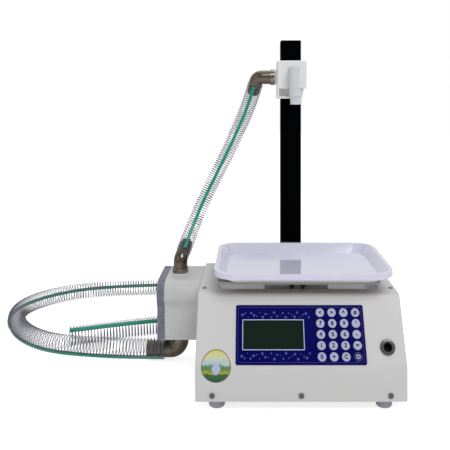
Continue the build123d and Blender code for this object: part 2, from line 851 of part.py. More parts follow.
def involute(radius, turn):
    """A point on a tooth's flank at this radius, turned by this angle about the gear."""
    roll = math.sqrt(max((radius / base_radius) ** 2 - 1, 0))
    angle = turn + roll - math.atan(roll)
    return (radius * math.cos(angle), radius * math.sin(angle))


def gear_outline(plane, centre, first_tooth):
    """An involute gear's outline, with a tooth's middle at the angle first_tooth."""
    with BuildSketch(plane) as outline:
        with BuildLine():
            pitch_roll = math.tan(pressure_angle) - pressure_angle
            half_tooth = math.pi / (2 * gear_teeth) - backlash / (2 * pitch_radius) + pitch_roll
            start = None
            first = None
            for tooth in range(gear_teeth):
                middle = first_tooth + 2 * math.pi * tooth / gear_teeth
                flank = [involute(r, 0) for r in (base_radius, pitch_radius, tip_radius)]
                low, high = [], []
                for x, y in flank:
                    radius, angle = math.hypot(x, y), math.atan2(y, x)
                    for side, turn in ((low, angle - half_tooth), (high, half_tooth - angle)):
                        turned = middle + turn
                        side.append((
                            centre[0] + radius * math.cos(turned),
                            centre[1] + radius * math.sin(turned),
                        ))
                roots = []
                for turn in (-half_tooth, half_tooth):
                    roots.append((
                        centre[0] + root_radius * math.cos(middle + turn),
                        centre[1] + root_radius * math.sin(middle + turn),
                    ))
                if start is None:
                    first = roots[0]
                else:
                    Line(start, roots[0])
                Line(roots[0], low[0])
                ThreePointArc(*low)
                Line(low[2], high[2])
                ThreePointArc(high[2], high[1], high[0])
                Line(high[0], roots[1])
                start = roots[1]
            Line(start, first)
        make_face()
    return outline.sketch


with BuildPart() as pump_body:
    extrude(pump_outline(facing_left(pump_inner_x)), amount=pump_length)
    with BuildSketch(facing_left(pump_outer_x)):
        with Locations((-drive_y, axis_z), (-idler_y, axis_z)):
            Circle(chamber_radius)
    extrude(amount=pump_outer_x - chamber_inner_x, mode=Mode.SUBTRACT)
    with BuildSketch(facing_left(chamber_inner_x)):
        with Locations((-drive_y, axis_z), (-idler_y, axis_z)):
            Circle(shaft_radius + running)
    extrude(amount=-(pump_inner_x - chamber_inner_x) / 3, mode=Mode.SUBTRACT)
    with BuildSketch(facing_left(pump_inner_x - cavity_depth)):
        with Locations((-drive_y, axis_z)):
            Circle(coupling_radius + coupling_gap)
    extrude(amount=-cavity_depth, mode=Mode.SUBTRACT)
    with BuildSketch(level(pump_bottom)):
        with Locations((port_x, port_y)):
            Circle(port_radius)
    extrude(amount=pump_top - pump_bottom, mode=Mode.SUBTRACT)
    with BuildSketch(level(pump_top)):
        with Locations((port_x, port_y)):
            Circle(elbow_radius - 1.5)
    extrude(amount=-12, mode=Mode.SUBTRACT)
save(pump_body, "pump_body")

screw_places = [
    (pump_front + cover_screw_inset, pump_bottom + cover_screw_inset),
    (pump_front + cover_screw_inset, axis_z),
    (pump_front + lobe_screw_inset, pump_top - lobe_screw_inset),
    (pump_back - cover_screw_inset, pump_top - cover_screw_inset),
    (pump_back - cover_screw_inset, axis_z),
    (pump_back - cover_screw_inset, pump_bottom + cover_screw_inset),
]
cover_screw_radius = 2.5
cover_screw_head = 4.3
cover_screw_sink = 5.0
cover_screw_below = 0.4
cover_screw_socket = 2.3
cover_screw_socket_depth = 2.4
with BuildPart() as pump_cover:
    extrude(pump_outline(facing_left(pump_outer_x)), amount=cover_thickness)
    with BuildSketch(facing_left(pump_outer_x)):
        with Locations((-drive_y, axis_z), (-idler_y, axis_z)):
            Circle(shaft_radius + running)
    extrude(amount=cover_bore_depth, mode=Mode.SUBTRACT)
    with BuildSketch(facing_left(cover_outer_x)):
        with Locations(*[(-y, z) for y, z in screw_places]):
            Circle(cover_screw_radius + fit)
    extrude(amount=-cover_thickness, mode=Mode.SUBTRACT)
    with BuildSketch(facing_left(cover_outer_x)):
        with Locations(*[(-y, z) for y, z in screw_places]):
            Circle(cover_screw_head + fit)
    extrude(amount=-cover_screw_sink, mode=Mode.SUBTRACT)
save(pump_cover, "pump_cover")

with BuildPart() as cover_screws:
    with BuildSketch(facing_left(cover_outer_x + cover_screw_sink)):
        with Locations(*[(-y, z) for y, z in screw_places]):
            Circle(cover_screw_head)
    extrude(amount=cover_screw_sink - cover_screw_below)
    with BuildSketch(facing_left(cover_outer_x + cover_screw_sink)):
        with Locations(*[(-y, z) for y, z in screw_places]):
            Circle(cover_screw_radius)
    extrude(amount=-(cover_thickness - cover_screw_sink))
    with BuildSketch(facing_left(cover_outer_x + cover_screw_below)):
        with Locations(*[(-y, z) for y, z in screw_places]):
            RegularPolygon(cover_screw_socket, 6)
    extrude(amount=-cover_screw_socket_depth, mode=Mode.SUBTRACT)
save(cover_screws, "cover_screws")

gear_start_x = chamber_inner_x - gear_clear
drive_shaft_inner = pump_inner_x - cavity_depth / 2 - 0.5
idler_shaft_inner = chamber_inner_x + (pump_inner_x - chamber_inner_x) / 3 - 0.5
for name, y, tooth, inner_x in (
    ("drive_gear", drive_y, math.pi, drive_shaft_inner),
    ("idler_gear", idler_y, math.pi / gear_teeth, idler_shaft_inner),
):
    with BuildPart() as gear:
        extrude(gear_outline(facing_left(gear_start_x), (-y, axis_z), tooth), amount=gear_width)
        with BuildSketch(facing_left(inner_x)):
            with Locations((-y, axis_z)):
                Circle(shaft_radius)
        extrude(amount=inner_x - shaft_end)
    save(gear, name)

with BuildPart() as motor_shaft:
    with BuildSketch(facing_right(drive_shaft_inner + 1.0)):
        with Locations((drive_y, axis_z)):
            Circle(shaft_radius)
    extrude(amount=motor_left + motor_shaft_inner - drive_shaft_inner - 1.0)
save(motor_shaft, "motor_shaft")

with BuildPart() as shaft_coupling:
    with BuildSketch(facing_left(pump_inner_x - coupling_gap)):
        with Locations((-drive_y, axis_z)):
            Circle(coupling_radius - coupling_gap / 4)
            Circle(shaft_radius + 0.02, mode=Mode.SUBTRACT)
    extrude(amount=coupling_length)
save(shaft_coupling, "shaft_coupling")

# ---- column, clamp and nozzle ---------------------------------------------------------
column_low = 24.0
with BuildPart() as column:
    with BuildSketch(level(column_low)):
        with Locations((0, column_front + column_depth / 2)):
            RectangleRounded(column_width, column_depth, 2)
    extrude(amount=column_top - column_low)
    fillet(column.edges().group_by(Axis.Z)[-1], 1.5)
    with BuildSketch(level(column_low)):
        with Locations((0, column_front + column_depth / 2)):
            Rectangle(column_width - 2 * column_wall, column_depth - 2 * column_wall)
    extrude(amount=column_top - column_low - column_wall, mode=Mode.SUBTRACT)
    with BuildSketch(facing_back(0, column_back, 0)):
        with Locations(*[(0, height) for height in column_bolt_heights]):
            Circle(column_bolt_radius + fit)
    extrude(amount=-column_depth, mode=Mode.SUBTRACT)
save(column, "column")

clamp_middle_z = (block_bottom + block_top) / 2
clamp_inner_x = column_width / 2 + clamp_gap
clamp_inner_depth = column_depth + 2 * clamp_gap
boss_depth = 6.0
knob_stem = 4.0
with BuildPart() as nozzle_clamp:
    with BuildSketch(level(clamp_middle_z - clamp_height / 2)):
        with Locations((0, column_front + column_depth / 2)):
            RectangleRounded(
                2 * (clamp_inner_x + clamp_wall), clamp_inner_depth + 2 * clamp_wall, 4
            )
    extrude(amount=clamp_height)
    with BuildSketch(facing_back(0, column_back + clamp_gap + clamp_wall, clamp_middle_z)):
        Circle(10)
    extrude(amount=boss_depth)
    with BuildSketch(level(clamp_middle_z - clamp_height / 2)):
        with Locations((0, column_front + column_depth / 2)):
            RectangleRounded(2 * clamp_inner_x, clamp_inner_depth, 2)
    extrude(amount=clamp_height, mode=Mode.SUBTRACT)
    with BuildSketch(facing_back(0, column_back, clamp_middle_z)):
        Circle(knob_stem + running)
    extrude(amount=30, mode=Mode.SUBTRACT)
save(nozzle_clamp, "nozzle_clamp")

knob_start = column_back + clamp_gap + clamp_wall + boss_depth + 1.0
with BuildPart() as clamp_knob:
    with BuildSketch(facing_back(0, knob_start, clamp_middle_z)):
        Circle(knob_radius - 3)
        with PolarLocations(knob_radius - 5, 6):
            Circle(5)
    extrude(amount=knob_reach - boss_depth - 1.0)
    fillet(clamp_knob.edges().group_by(Axis.Y)[-1], 1.5)
    with BuildSketch(facing_back(0, knob_start, clamp_middle_z)):
        Circle(knob_stem)
    extrude(amount=-(knob_start - column_back - clamp_gap))
save(clamp_knob, "clamp_knob")

block_step = 20.0
step_width = 14.0
notch_width = 21.0
notch_height = 15.0
notch_depth = 14.0
notch_edge = 3.0
notch_low = 4.5
leg_z = 556.3
leg_y = (block_front + block_back) / 2
with BuildPart() as nozzle_block:
    with BuildSketch(facing_front(0, block_back, 0)):
        with BuildLine():
            Polyline(
                (-block_left, block_bottom),
                (-block_left, block_top),
                (block_right, block_top),
                (block_right, block_bottom + block_step),
                (block_right - step_width, block_bottom + block_step),
                (block_right - step_width, block_bottom),
                close=True,
            )
        make_face()
    extrude(amount=block_depth)
    uprights = nozzle_block.edges().filter_by(Axis.Z)
    fillet(uprights, 1.8)
    fillet(nozzle_block.faces().sort_by(Axis.Z)[-1].edges(), 1.6)
    with BuildSketch(facing_front(0, block_front, 0)):
        with Locations((-block_left + notch_edge, block_bottom + notch_low)):
            Rectangle(notch_width, notch_height, align=(Align.MIN, Align.MIN))
    extrude(amount=-notch_depth, mode=Mode.SUBTRACT)
    with BuildSketch(facing_left(-block_left)):
        with Locations((-leg_y, leg_z)):
            Circle(elbow_radius - 1.4)
    extrude(amount=-12, mode=Mode.SUBTRACT)
    with BuildSketch(facing_left(-block_left)):
        with Locations((-leg_y, leg_z)):
            Circle(port_radius)
    extrude(amount=-(block_left + nozzle_x), mode=Mode.SUBTRACT)
    with BuildSketch(facing_front(nozzle_x, block_front, leg_z)):
        Circle(nozzle_bore)
    extrude(amount=-(leg_y - block_front), mode=Mode.SUBTRACT)
save(nozzle_block, "nozzle_block")

spout_top = 575.0
channel_low = 532.6
collar_low = 517.8
with BuildPart() as nozzle_spout:
    with BuildSketch(level(channel_low)):
        with Locations((channel_x, nozzle_y)):
            Circle(channel_width / 2)
    extrude(amount=spout_top - channel_low)
    with BuildSketch(facing_front(channel_x, block_front, (channel_low + spout_top) / 2)):
        Rectangle(channel_width, spout_top - channel_low)
    extrude(amount=block_front - nozzle_y)
    fillet(nozzle_spout.edges().group_by(Axis.Z)[-1], 1.5)
    with BuildSketch(level(collar_low)):
        with Locations((nozzle_x, nozzle_y)):
            Circle(nozzle_radius)
    extrude(amount=channel_low - collar_low)
    fillet(nozzle_spout.edges().group_by(Axis.Z)[0], 1.0)
    with BuildSketch(level(nozzle_tip)):
        with Locations((nozzle_x, nozzle_y)):
            Circle(nozzle_tip_radius - 0.7)
    with BuildSketch(level(collar_low + 1.0)):
        with Locations((nozzle_x, nozzle_y)):
            Circle(nozzle_tip_radius)
    loft()
    with BuildSketch(level(nozzle_tip)):
        with Locations((nozzle_x, nozzle_y)):
            Circle(nozzle_bore)
    extrude(amount=leg_z + nozzle_bore - nozzle_tip, mode=Mode.SUBTRACT)
    with BuildSketch(facing_front(nozzle_x, block_front, leg_z)):
        Circle(nozzle_bore)
    extrude(amount=block_front - nozzle_y, mode=Mode.SUBTRACT)
save(nozzle_spout, "nozzle_spout")

# ---- washers and elbows -----------------------------------------------------------------
washer_thickness = 2.2
nozzle_washer_thickness = 4.6
with BuildPart() as port_washer:
    with BuildSketch(level(pump_top)):
        with Locations((port_x, port_y)):
            Circle(elbow_radius + 2.8)
            Circle(elbow_radius - 1.5, mode=Mode.SUBTRACT)
    extrude(amount=washer_thickness)
save(port_washer, "port_washer")

with BuildPart() as nozzle_washer:
    with BuildSketch(facing_left(-block_left)):
        with Locations((-leg_y, leg_z)):
            Circle(elbow_radius + 0.8)
            Circle(elbow_radius - 1.4, mode=Mode.SUBTRACT)
    extrude(amount=nozzle_washer_thickness)
save(nozzle_washer, "nozzle_washer")

# routes: each hose leaves its fitting along the fitting's barb
outlet_corner = at(port_x, port_y, 196.5)
nozzle_corner = at(-70.0, leg_y, leg_z)
outlet_shoulder = 18.0
nozzle_shoulder = 15.0
outlet_middle = [
    at(-206.8, 250.5, 238.0),
    at(-182.0, 272.0, 300.0),
    at(-147.0, 281.0, 370.0),
    at(-112.0, 274.0, 442.0),
    at(-84.0, 251.0, 508.0),
]
outlet_direction = (outlet_middle[0] - outlet_corner).normalized()
nozzle_direction = (outlet_middle[-1] - nozzle_corner).normalized()
outlet_route = [
    outlet_corner + outlet_direction * outlet_shoulder,
    *outlet_middle,
    nozzle_corner + nozzle_direction * nozzle_shoulder,
]
hose_axis_z = large_hose_outer + 0.1
inlet_hose_start = inlet_tip - 36.0
inlet_route = [at(-inlet_hose_start, port_y, hose_axis_z)] + [
    at(x, y, hose_axis_z)
    for x, y in (
        (-305, port_y), (-357, 206), (-409, 213), (-459, 222), (-506, 241), (-549, 274), (-584, 316),
        (-609, 364), (-621, 412), (-613, 463), (-585, 507), (-547, 541), (-501, 564), (-450, 576),
        (-398, 582), (-346, 585), (-294, 590), (-242, 599), (-190, 613), (-138, 630), (-85, 644),
        (-31, 648), (22, 636), (68, 605), (99, 559), (109, 505), (99, 451), (69, 405),
        (24, 372), (-28, 354), (-82, 347), (-136, 347), (-190, 346), (-238, 338), (-286, 326),
        (-332, 312), (-377, 296), (-419, 280), (-460, 265),
    )
]


def bend_radii(route):
    """The largest arc each corner of a hose's route takes, from its runs and its turn."""
    radii = []
    for before, corner, after in zip(route, route[1:], route[2:]):
        first_run, second_run = corner - before, after - corner
        half_turn = math.radians(first_run.get_angle(second_run)) / 2
        shorter = min(first_run.length, second_run.length)
        radii.append(0.45 * shorter / math.tan(half_turn))
    return radii


def hose(route, outer, inner, name):
    """A hose of this outer and inner radius along a route of straight runs and arcs."""
    radii = bend_radii(route)
    with BuildPart() as tube:
        with BuildLine() as path:
            FilletPolyline(*route, radius=radii)
        with BuildSketch(Plane(origin=path.line @ 0, z_dir=path.line % 0)):
            Circle(outer)
            Circle(inner, mode=Mode.SUBTRACT)
        sweep(path=path.line)
    length = path.wires()[0].length
    expected = math.pi * (outer**2 - inner**2) * length
    print(name, "radii", [round(r) for r in radii], "length", round(length))
    print(name, "volume", round(tube.part.volume), "of", round(expected))
    save(tube, name)


hose(outlet_route, small_hose_outer, small_hose_inner + 0.1, "outlet_hose")
hose(inlet_route, large_hose_outer, large_hose_inner + 0.1, "inlet_hose")


def elbow(name, start, corner, mouth, tip, pipe, bore, barb, bend, collar=0.0, collar_length=0.0):
    """A pipe elbow: a leg to the corner, a bend, and a ribbed barb from the mouth to the tip."""
    first_leg = (corner - start).normalized()
    second_leg = (tip - corner).normalized()
    side = first_leg.cross(second_leg).normalized()
    barb_length = (tip - mouth).length
    rib_pitch = 4.6
    with BuildPart() as fitting:
        with BuildLine() as path:
            FilletPolyline(start, corner, mouth, radius=bend)
        with BuildSketch(Plane(origin=start, z_dir=first_leg)):
            Circle(pipe)
        sweep(path=path.line)
        if collar:
            with BuildSketch(Plane(origin=start, z_dir=first_leg)):
                Circle(collar)
            extrude(amount=collar_length)
        with BuildSketch(Plane(origin=start, z_dir=first_leg)):
            Circle(port_radius + 1.6)
        extrude(amount=-spigot_length)
        with BuildSketch(Plane(origin=mouth, x_dir=second_leg, z_dir=side)):
            with BuildLine():
                outline = [(0, 0), (0, barb - 1.2)]
                for rib in range(int((barb_length - 2) / rib_pitch)):
                    place = 3 + rib * rib_pitch
                    outline += [(place, barb - 1.2), (place, barb), (place + 3.2, barb - 1.2)]
                outline += [(barb_length, barb - 1.2), (barb_length, 0)]
                Polyline(*outline, close=True)
            make_face()
        revolve(axis=Axis(mouth, second_leg))
        with BuildLine() as inner_path:
            FilletPolyline(start, corner, tip, radius=bend)
        with BuildSketch(Plane(origin=start, z_dir=first_leg)):
            Circle(bore)
        sweep(path=inner_path.line, mode=Mode.SUBTRACT)
        with BuildSketch(Plane(origin=start, z_dir=first_leg)):
            Circle(bore)
        extrude(amount=-spigot_length, mode=Mode.SUBTRACT)
    save(fitting, name)


spigot_length = 9.0
barb_reach = 24.0
outlet_start = at(port_x, port_y, pump_top + washer_thickness)
nozzle_start = at(-block_left - nozzle_washer_thickness, leg_y, leg_z)
inlet_start = at(port_x, port_y, pump_bottom)
inlet_corner = at(port_x, port_y, hose_axis_z)
elbow(
    "outlet_elbow", outlet_start, outlet_corner, outlet_route[0],
    outlet_route[0] + outlet_direction * barb_reach,
    elbow_radius, port_radius - 1, small_hose_inner, 14, elbow_radius + 1.6, 9.5,
)
elbow(
    "nozzle_elbow", nozzle_start, nozzle_corner, outlet_route[-1],
    outlet_route[-1] + nozzle_direction * barb_reach,
    elbow_radius, port_radius - 1, small_hose_inner, 12, elbow_radius + 1.9, 8.5,
)
elbow(
    "inlet_elbow", inlet_start, inlet_corner, inlet_route[0],
    at(-inlet_tip, port_y, hose_axis_z),
    inlet_pipe_radius, port_radius + 2, large_hose_inner - 0.2, 18,
)
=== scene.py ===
"""Surface looks, hoses and printed details of a bench-top liquid filler.

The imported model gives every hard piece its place. This file dresses those pieces, builds
the two clear hoses, the badge and the print of the control panel, and sets up a plain
studio with a pale floor.
"""
import logging
import math
from dataclasses import dataclass, field
from enum import Enum
from typing import Iterable, Sequence

import bpy
from mathutils import Matrix, Vector


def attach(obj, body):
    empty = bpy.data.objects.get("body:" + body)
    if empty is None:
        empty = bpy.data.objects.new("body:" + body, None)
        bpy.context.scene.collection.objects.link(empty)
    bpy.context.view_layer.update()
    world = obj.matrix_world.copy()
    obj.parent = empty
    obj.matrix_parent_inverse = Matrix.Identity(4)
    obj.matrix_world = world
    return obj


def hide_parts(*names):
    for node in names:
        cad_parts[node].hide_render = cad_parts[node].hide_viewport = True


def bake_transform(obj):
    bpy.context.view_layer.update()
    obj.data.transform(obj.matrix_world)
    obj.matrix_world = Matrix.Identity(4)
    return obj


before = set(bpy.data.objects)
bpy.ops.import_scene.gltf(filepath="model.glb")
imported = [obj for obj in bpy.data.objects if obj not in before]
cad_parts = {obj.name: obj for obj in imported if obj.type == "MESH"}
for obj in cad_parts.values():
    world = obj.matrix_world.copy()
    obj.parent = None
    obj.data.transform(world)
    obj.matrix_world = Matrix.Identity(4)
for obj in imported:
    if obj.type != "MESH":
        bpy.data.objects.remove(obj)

log = logging.getLogger("filler")
MM = 0.001
Point = tuple[float, float, float]
Axes = tuple[Vector, Vector, Vector]


class Texture(Enum):
    """The kind of fine relief that a finish has."""

    ORANGE_PEEL = "orange peel"
    BRUSHED = "brushed"
    MOULDED = "moulded"
    PLAIN = "plain"


# ---- the frame of the machine ----
@dataclass(frozen=True)
class MachineFrame:
    """Places on the machine, measured in millimetres from the middle of its front edge."""

    shift_x: float = 56.5
    shift_y: float = -162.55
    bend_height: float = 72.0
    slope_run: float = 56.5
    slope_rise: float = 105.0

    def at(self, x: float, y: float, z: float) -> Vector:
        """A place in the model's frame, in metres."""
        return Vector(((x + self.shift_x) * MM, (y + self.shift_y) * MM, z * MM))

    def slope(self, x: float, up: float, out: float = 0.0) -> Matrix:
        """The placement of a piece that lies on the sloping panel.

        Args:
            x: Place across the panel.
            up: Distance up the slope from the bend.
            out: Distance in front of the sheet.

        Returns:
            A matrix whose X runs across the panel, Y up the slope and Z outwards.
        """
        length = math.hypot(self.slope_run, self.slope_rise)
        along = Vector((0, self.slope_run / length, self.slope_rise / length))
        outward = Vector((0, -self.slope_rise / length, self.slope_run / length))
        origin = self.at(x, 0, self.bend_height) + (along * up + outward * out) * MM
        turn = Matrix((Vector((1, 0, 0)), along, outward)).transposed()
        return Matrix.Translation(origin) @ turn.to_4x4()


MACHINE = MachineFrame()


# ---- shared shader groups ----
class NodeWriter:
    """Adds and joins shader nodes in one node tree."""

    def __init__(self, tree: bpy.types.NodeTree) -> None:
        """Keeps the tree and starts from no nodes."""
        self.tree = tree
        self.column = 0
        tree.nodes.clear()

    def add(self, kind: str, **settings: object) -> bpy.types.Node:
        """Adds a node and sets its own properties.

        Args:
            kind: The node's type name.
            settings: Properties of the node.

        Returns:
            The new node.
        """
        node = self.tree.nodes.new(kind)
        node.location = (self.column * 190, 0)
        self.column += 1
        for name, value in settings.items():
            setattr(node, name, value)
        return node

    def join(self, source: bpy.types.NodeSocket, target: bpy.types.NodeSocket) -> None:
        """Joins an output to an input."""
        self.tree.links.new(source, target)

    def math(self, operation: str, first: object, second: object = 0.5) -> bpy.types.NodeSocket:
        """Adds a Math node.

        Args:
            operation: Blender's name for the operation.
            first: A socket or a number.
            second: A socket or a number.

        Returns:
            The node's output.
        """
        node = self.add("ShaderNodeMath", operation=operation)
        for socket, value in zip(node.inputs, (first, second)):
            if isinstance(value, bpy.types.NodeSocket):
                self.join(value, socket)
            else:
                socket.default_value = value
        return node.outputs[0]

    def blend(self, factor: object, first: object, second: object) -> bpy.types.NodeSocket:
        """Mixes two colours.

        Args:
            factor: A socket or a number from 0 to 1.
            first: A socket or a colour.
            second: A socket or a colour.

        Returns:
            The mixed colour.
        """
        node = self.add("ShaderNodeMix", data_type="RGBA")
        sockets = (node.inputs[0], node.inputs[6], node.inputs[7])
        for socket, value in zip(sockets, (factor, first, second)):
            if isinstance(value, bpy.types.NodeSocket):
                self.join(value, socket)
            elif isinstance(value, tuple):
                socket.default_value = (*value[:3], 1.0)
            else:
                socket.default_value = value
        return node.outputs[2]


class ShaderGroups:
    """Builds the effects that several finishes share, once each."""

    _built: dict[str, bpy.types.NodeTree] = {}

    @classmethod
    def _start(
        cls, name: str, inputs: Sequence[tuple[str, str, object]], outputs: Sequence[tuple[str, str]],
    ) -> NodeWriter:
        """Makes an empty group with its sockets."""
        tree = bpy.data.node_groups.new(name, "ShaderNodeTree")
        for label, kind, value in inputs:
            socket = tree.interface.new_socket(name=label, in_out="INPUT", socket_type=kind)
            if value is not None:
                socket.default_value = value
        for label, kind in outputs:
            tree.interface.new_socket(name=label, in_out="OUTPUT", socket_type=kind)
        cls._built[name] = tree
        return NodeWriter(tree)

    @classmethod
    def relief(cls) -> bpy.types.NodeTree:
        """Fine relief with slow changes of tone and gloss over a surface."""
        name = "surface_relief"
        if name in cls._built:
            return cls._built[name]
        write = cls._start(
            name,
            [
                ("Place", "NodeSocketVector", None),
                ("Tone", "NodeSocketColor", (0.8, 0.8, 0.8, 1.0)),
                ("Gloss", "NodeSocketFloat", 0.4),
                ("Grain Size", "NodeSocketFloat", 900.0),
                ("Grain Depth", "NodeSocketFloat", 0.1),
                ("Unevenness", "NodeSocketFloat", 0.06),
            ],
            [
                ("Tone", "NodeSocketColor"), ("Roughness", "NodeSocketFloat"),
                ("Normal", "NodeSocketVector"),
            ],
        )
        start = write.add("NodeGroupInput")
        fine = write.add("ShaderNodeTexNoise")
        fine.inputs["Detail"].default_value = 3.0
        write.join(start.outputs["Place"], fine.inputs["Vector"])
        write.join(start.outputs["Grain Size"], fine.inputs["Scale"])
        broad = write.add("ShaderNodeTexNoise")
        broad.inputs["Scale"].default_value = 14.0
        broad.inputs["Detail"].default_value = 4.0
        write.join(start.outputs["Place"], broad.inputs["Vector"])
        wander = write.math("SUBTRACT", broad.outputs["Fac"], 0.5)
        tone_change = write.math("MULTIPLY", wander, start.outputs["Unevenness"])
        brighter = write.math("ADD", tone_change, 1.0)
        scale = write.add("ShaderNodeVectorMath", operation="SCALE")
        write.join(start.outputs["Tone"], scale.inputs[0])
        write.join(brighter, scale.inputs["Scale"])
        gloss_change = write.math("MULTIPLY", wander, 0.22)
        rough = write.math("ADD", start.outputs["Gloss"], gloss_change)
        bump = write.add("ShaderNodeBump")
        bump.inputs["Distance"].default_value = 0.0004
        write.join(start.outputs["Grain Depth"], bump.inputs["Strength"])
        write.join(fine.outputs["Fac"], bump.inputs["Height"])
        end = write.add("NodeGroupOutput")
        write.join(scale.outputs[0], end.inputs["Tone"])
        write.join(rough, end.inputs["Roughness"])
        write.join(bump.outputs["Normal"], end.inputs["Normal"])
        return write.tree

    @classmethod
    def edges(cls) -> bpy.types.NodeTree:
        """A mask that is bright on worn outer edges and broken up along them."""
        name = "edge_wear"
        if name in cls._built:
            return cls._built[name]
        write = cls._start(
            name,
            [("Place", "NodeSocketVector", None), ("Amount", "NodeSocketFloat", 0.5)],
            [("Mask", "NodeSocketFloat")],
        )
        start = write.add("NodeGroupInput")
        shape = write.add("ShaderNodeNewGeometry")
        ridge = write.add("ShaderNodeMapRange")
        ridge.inputs["From Min"].default_value = 0.52
        ridge.inputs["From Max"].default_value = 0.62
        write.join(shape.outputs["Pointiness"], ridge.inputs["Value"])
        broken = write.add("ShaderNodeTexNoise")
        broken.inputs["Scale"].default_value = 120.0
        write.join(start.outputs["Place"], broken.inputs["Vector"])
        patch = write.math("MULTIPLY", ridge.outputs["Result"], broken.outputs["Fac"])
        mask = write.math("MULTIPLY", patch, start.outputs["Amount"])
        end = write.add("NodeGroupOutput")
        write.join(mask, end.inputs["Mask"])
        return write.tree

    @classmethod
    def dust(cls) -> bpy.types.NodeTree:
        """A thin mask of dust on faces that look upwards."""
        name = "settled_dust"
        if name in cls._built:
            return cls._built[name]
        write = cls._start(
            name,
            [("Place", "NodeSocketVector", None), ("Amount", "NodeSocketFloat", 0.1)],
            [("Mask", "NodeSocketFloat")],
        )
        start = write.add("NodeGroupInput")
        shape = write.add("ShaderNodeNewGeometry")
        parts = write.add("ShaderNodeSeparateXYZ")
        write.join(shape.outputs["Normal"], parts.inputs[0])
        facing = write.math("MAXIMUM", parts.outputs["Z"], 0.0)
        specks = write.add("ShaderNodeTexNoise")
        specks.inputs["Scale"].default_value = 60.0
        specks.inputs["Detail"].default_value = 6.0
        write.join(start.outputs["Place"], specks.inputs["Vector"])
        spread = write.math("MULTIPLY", facing, specks.outputs["Fac"])
        mask = write.math("MULTIPLY", spread, start.outputs["Amount"])
        end = write.add("NodeGroupOutput")
        write.join(mask, end.inputs["Mask"])
        return write.tree


def place_group(write: NodeWriter, tree: bpy.types.NodeTree, **values: object) -> bpy.types.Node:
    """Puts a shared group into a material.

    Args:
        write: The material's writer.
        tree: The shared group.
        values: Sockets or numbers for its inputs, spaces written as underscores.

    Returns:
        The group's node.
    """
    node = write.add("ShaderNodeGroup", node_tree=tree)
    for name, value in values.items():
        socket = node.inputs[name.replace("_", " ")]
        if isinstance(value, bpy.types.NodeSocket):
            write.join(value, socket)
        else:
            socket.default_value = value
    return node


# ---- finishes ----
@dataclass(frozen=True)
class Finish:
    """One material: its colour, gloss and fine relief."""

    name: str
    tone: Point
    gloss: float = 0.45
    metal: float = 0.0
    coat: float = 0.0
    texture: Texture = Texture.PLAIN
    depth: float = 0.1
    unevenness: float = 0.06
    wear: float = 0.0
    worn_tone: Point = (0.6, 0.6, 0.6)
    dust: float = 0.05
    glow_through: float = 0.0
    clearness: float = 0.0
    ior: float = 1.45

    def material(self) -> bpy.types.Material:
        """The material of this finish, built on its first use."""
        found = bpy.data.materials.get("finish_" + self.name)
        if found is not None:
            return found
        made = bpy.data.materials.new("finish_" + self.name)
        made.use_nodes = True
        write = NodeWriter(made.node_tree)
        shader = write.add("ShaderNodeBsdfPrincipled")
        place = write.add("ShaderNodeTexCoord").outputs["Object"]
        grain_place, grain_size = self._grain(write, place)
        relief = place_group(
            write, ShaderGroups.relief(), Place=grain_place, Tone=(*self.tone, 1.0), Gloss=self.gloss,
            Grain_Size=grain_size, Grain_Depth=self.depth, Unevenness=self.unevenness,
        )
        colour = relief.outputs["Tone"]
        if self.wear:
            edges = place_group(write, ShaderGroups.edges(), Place=place, Amount=self.wear)
            colour = write.blend(edges.outputs["Mask"], colour, self.worn_tone)
        dust = place_group(write, ShaderGroups.dust(), Place=place, Amount=self.dust)
        colour = write.blend(dust.outputs["Mask"], colour, DUST_TONE)
        write.join(colour, shader.inputs["Base Color"])
        write.join(relief.outputs["Roughness"], shader.inputs["Roughness"])
        write.join(relief.outputs["Normal"], shader.inputs["Normal"])
        shader.inputs["Metallic"].default_value = self.metal
        shader.inputs["Coat Weight"].default_value = self.coat
        shader.inputs["Coat Roughness"].default_value = 0.08
        shader.inputs["IOR"].default_value = self.ior
        shader.inputs["Subsurface Weight"].default_value = self.glow_through
        shader.inputs["Subsurface Radius"].default_value = (0.012, 0.012, 0.013)
        shader.inputs["Transmission Weight"].default_value = self.clearness
        end = write.add("ShaderNodeOutputMaterial")
        write.join(shader.outputs[0], end.inputs["Surface"])
        return made

    def _grain(
        self, write: NodeWriter, place: bpy.types.NodeSocket,
    ) -> tuple[bpy.types.NodeSocket, float]:
        """The stretched place and the size of the fine relief."""
        stretch = write.add("ShaderNodeMapping")
        write.join(place, stretch.inputs["Vector"])
        sizes = {
            Texture.ORANGE_PEEL: ((1, 1, 1), 650.0),
            Texture.BRUSHED: ((0.06, 1, 1), 1400.0),
            Texture.MOULDED: ((1, 1, 1), 1500.0),
            Texture.PLAIN: ((1, 1, 1), 260.0),
        }
        scale, size = sizes[self.texture]
        stretch.inputs["Scale"].default_value = scale
        return stretch.outputs[0], size


POWDER_COAT = Finish(
    "powder_coat", (0.72, 0.708, 0.695), 0.42, texture=Texture.ORANGE_PEEL, depth=0.16,
    unevenness=0.035,
)
ZINC_SHEET = Finish("zinc_sheet", (0.52, 0.52, 0.53), 0.38, 1.0, texture=Texture.BRUSHED, depth=0.2)
BRACKET_SHEET = Finish(
    "bracket_sheet", (0.66, 0.64, 0.63), 0.5, 0.1, texture=Texture.BRUSHED, depth=0.2,
)
# Painted shade: this dim brown tone on the platform plate stands for the tray's shadow and a warm reflection
# under the tray, not for a colour of the plate itself.
UNDER_TRAY_SHADE_BOARD = Finish(
    "board_painted_shade", (0.40, 0.345, 0.29), 0.3, texture=Texture.MOULDED, depth=0.1, unevenness=0.2,
)
WHITE_SHEET = Finish(
    "white_sheet", (0.86, 0.85, 0.97), 0.2, coat=0.6, texture=Texture.ORANGE_PEEL, depth=0.1,
)
SCREW_STEEL = Finish(
    "screw_steel", (0.18, 0.175, 0.17), 0.3, 1.0, wear=0.3, worn_tone=(0.8, 0.8, 0.8),
)
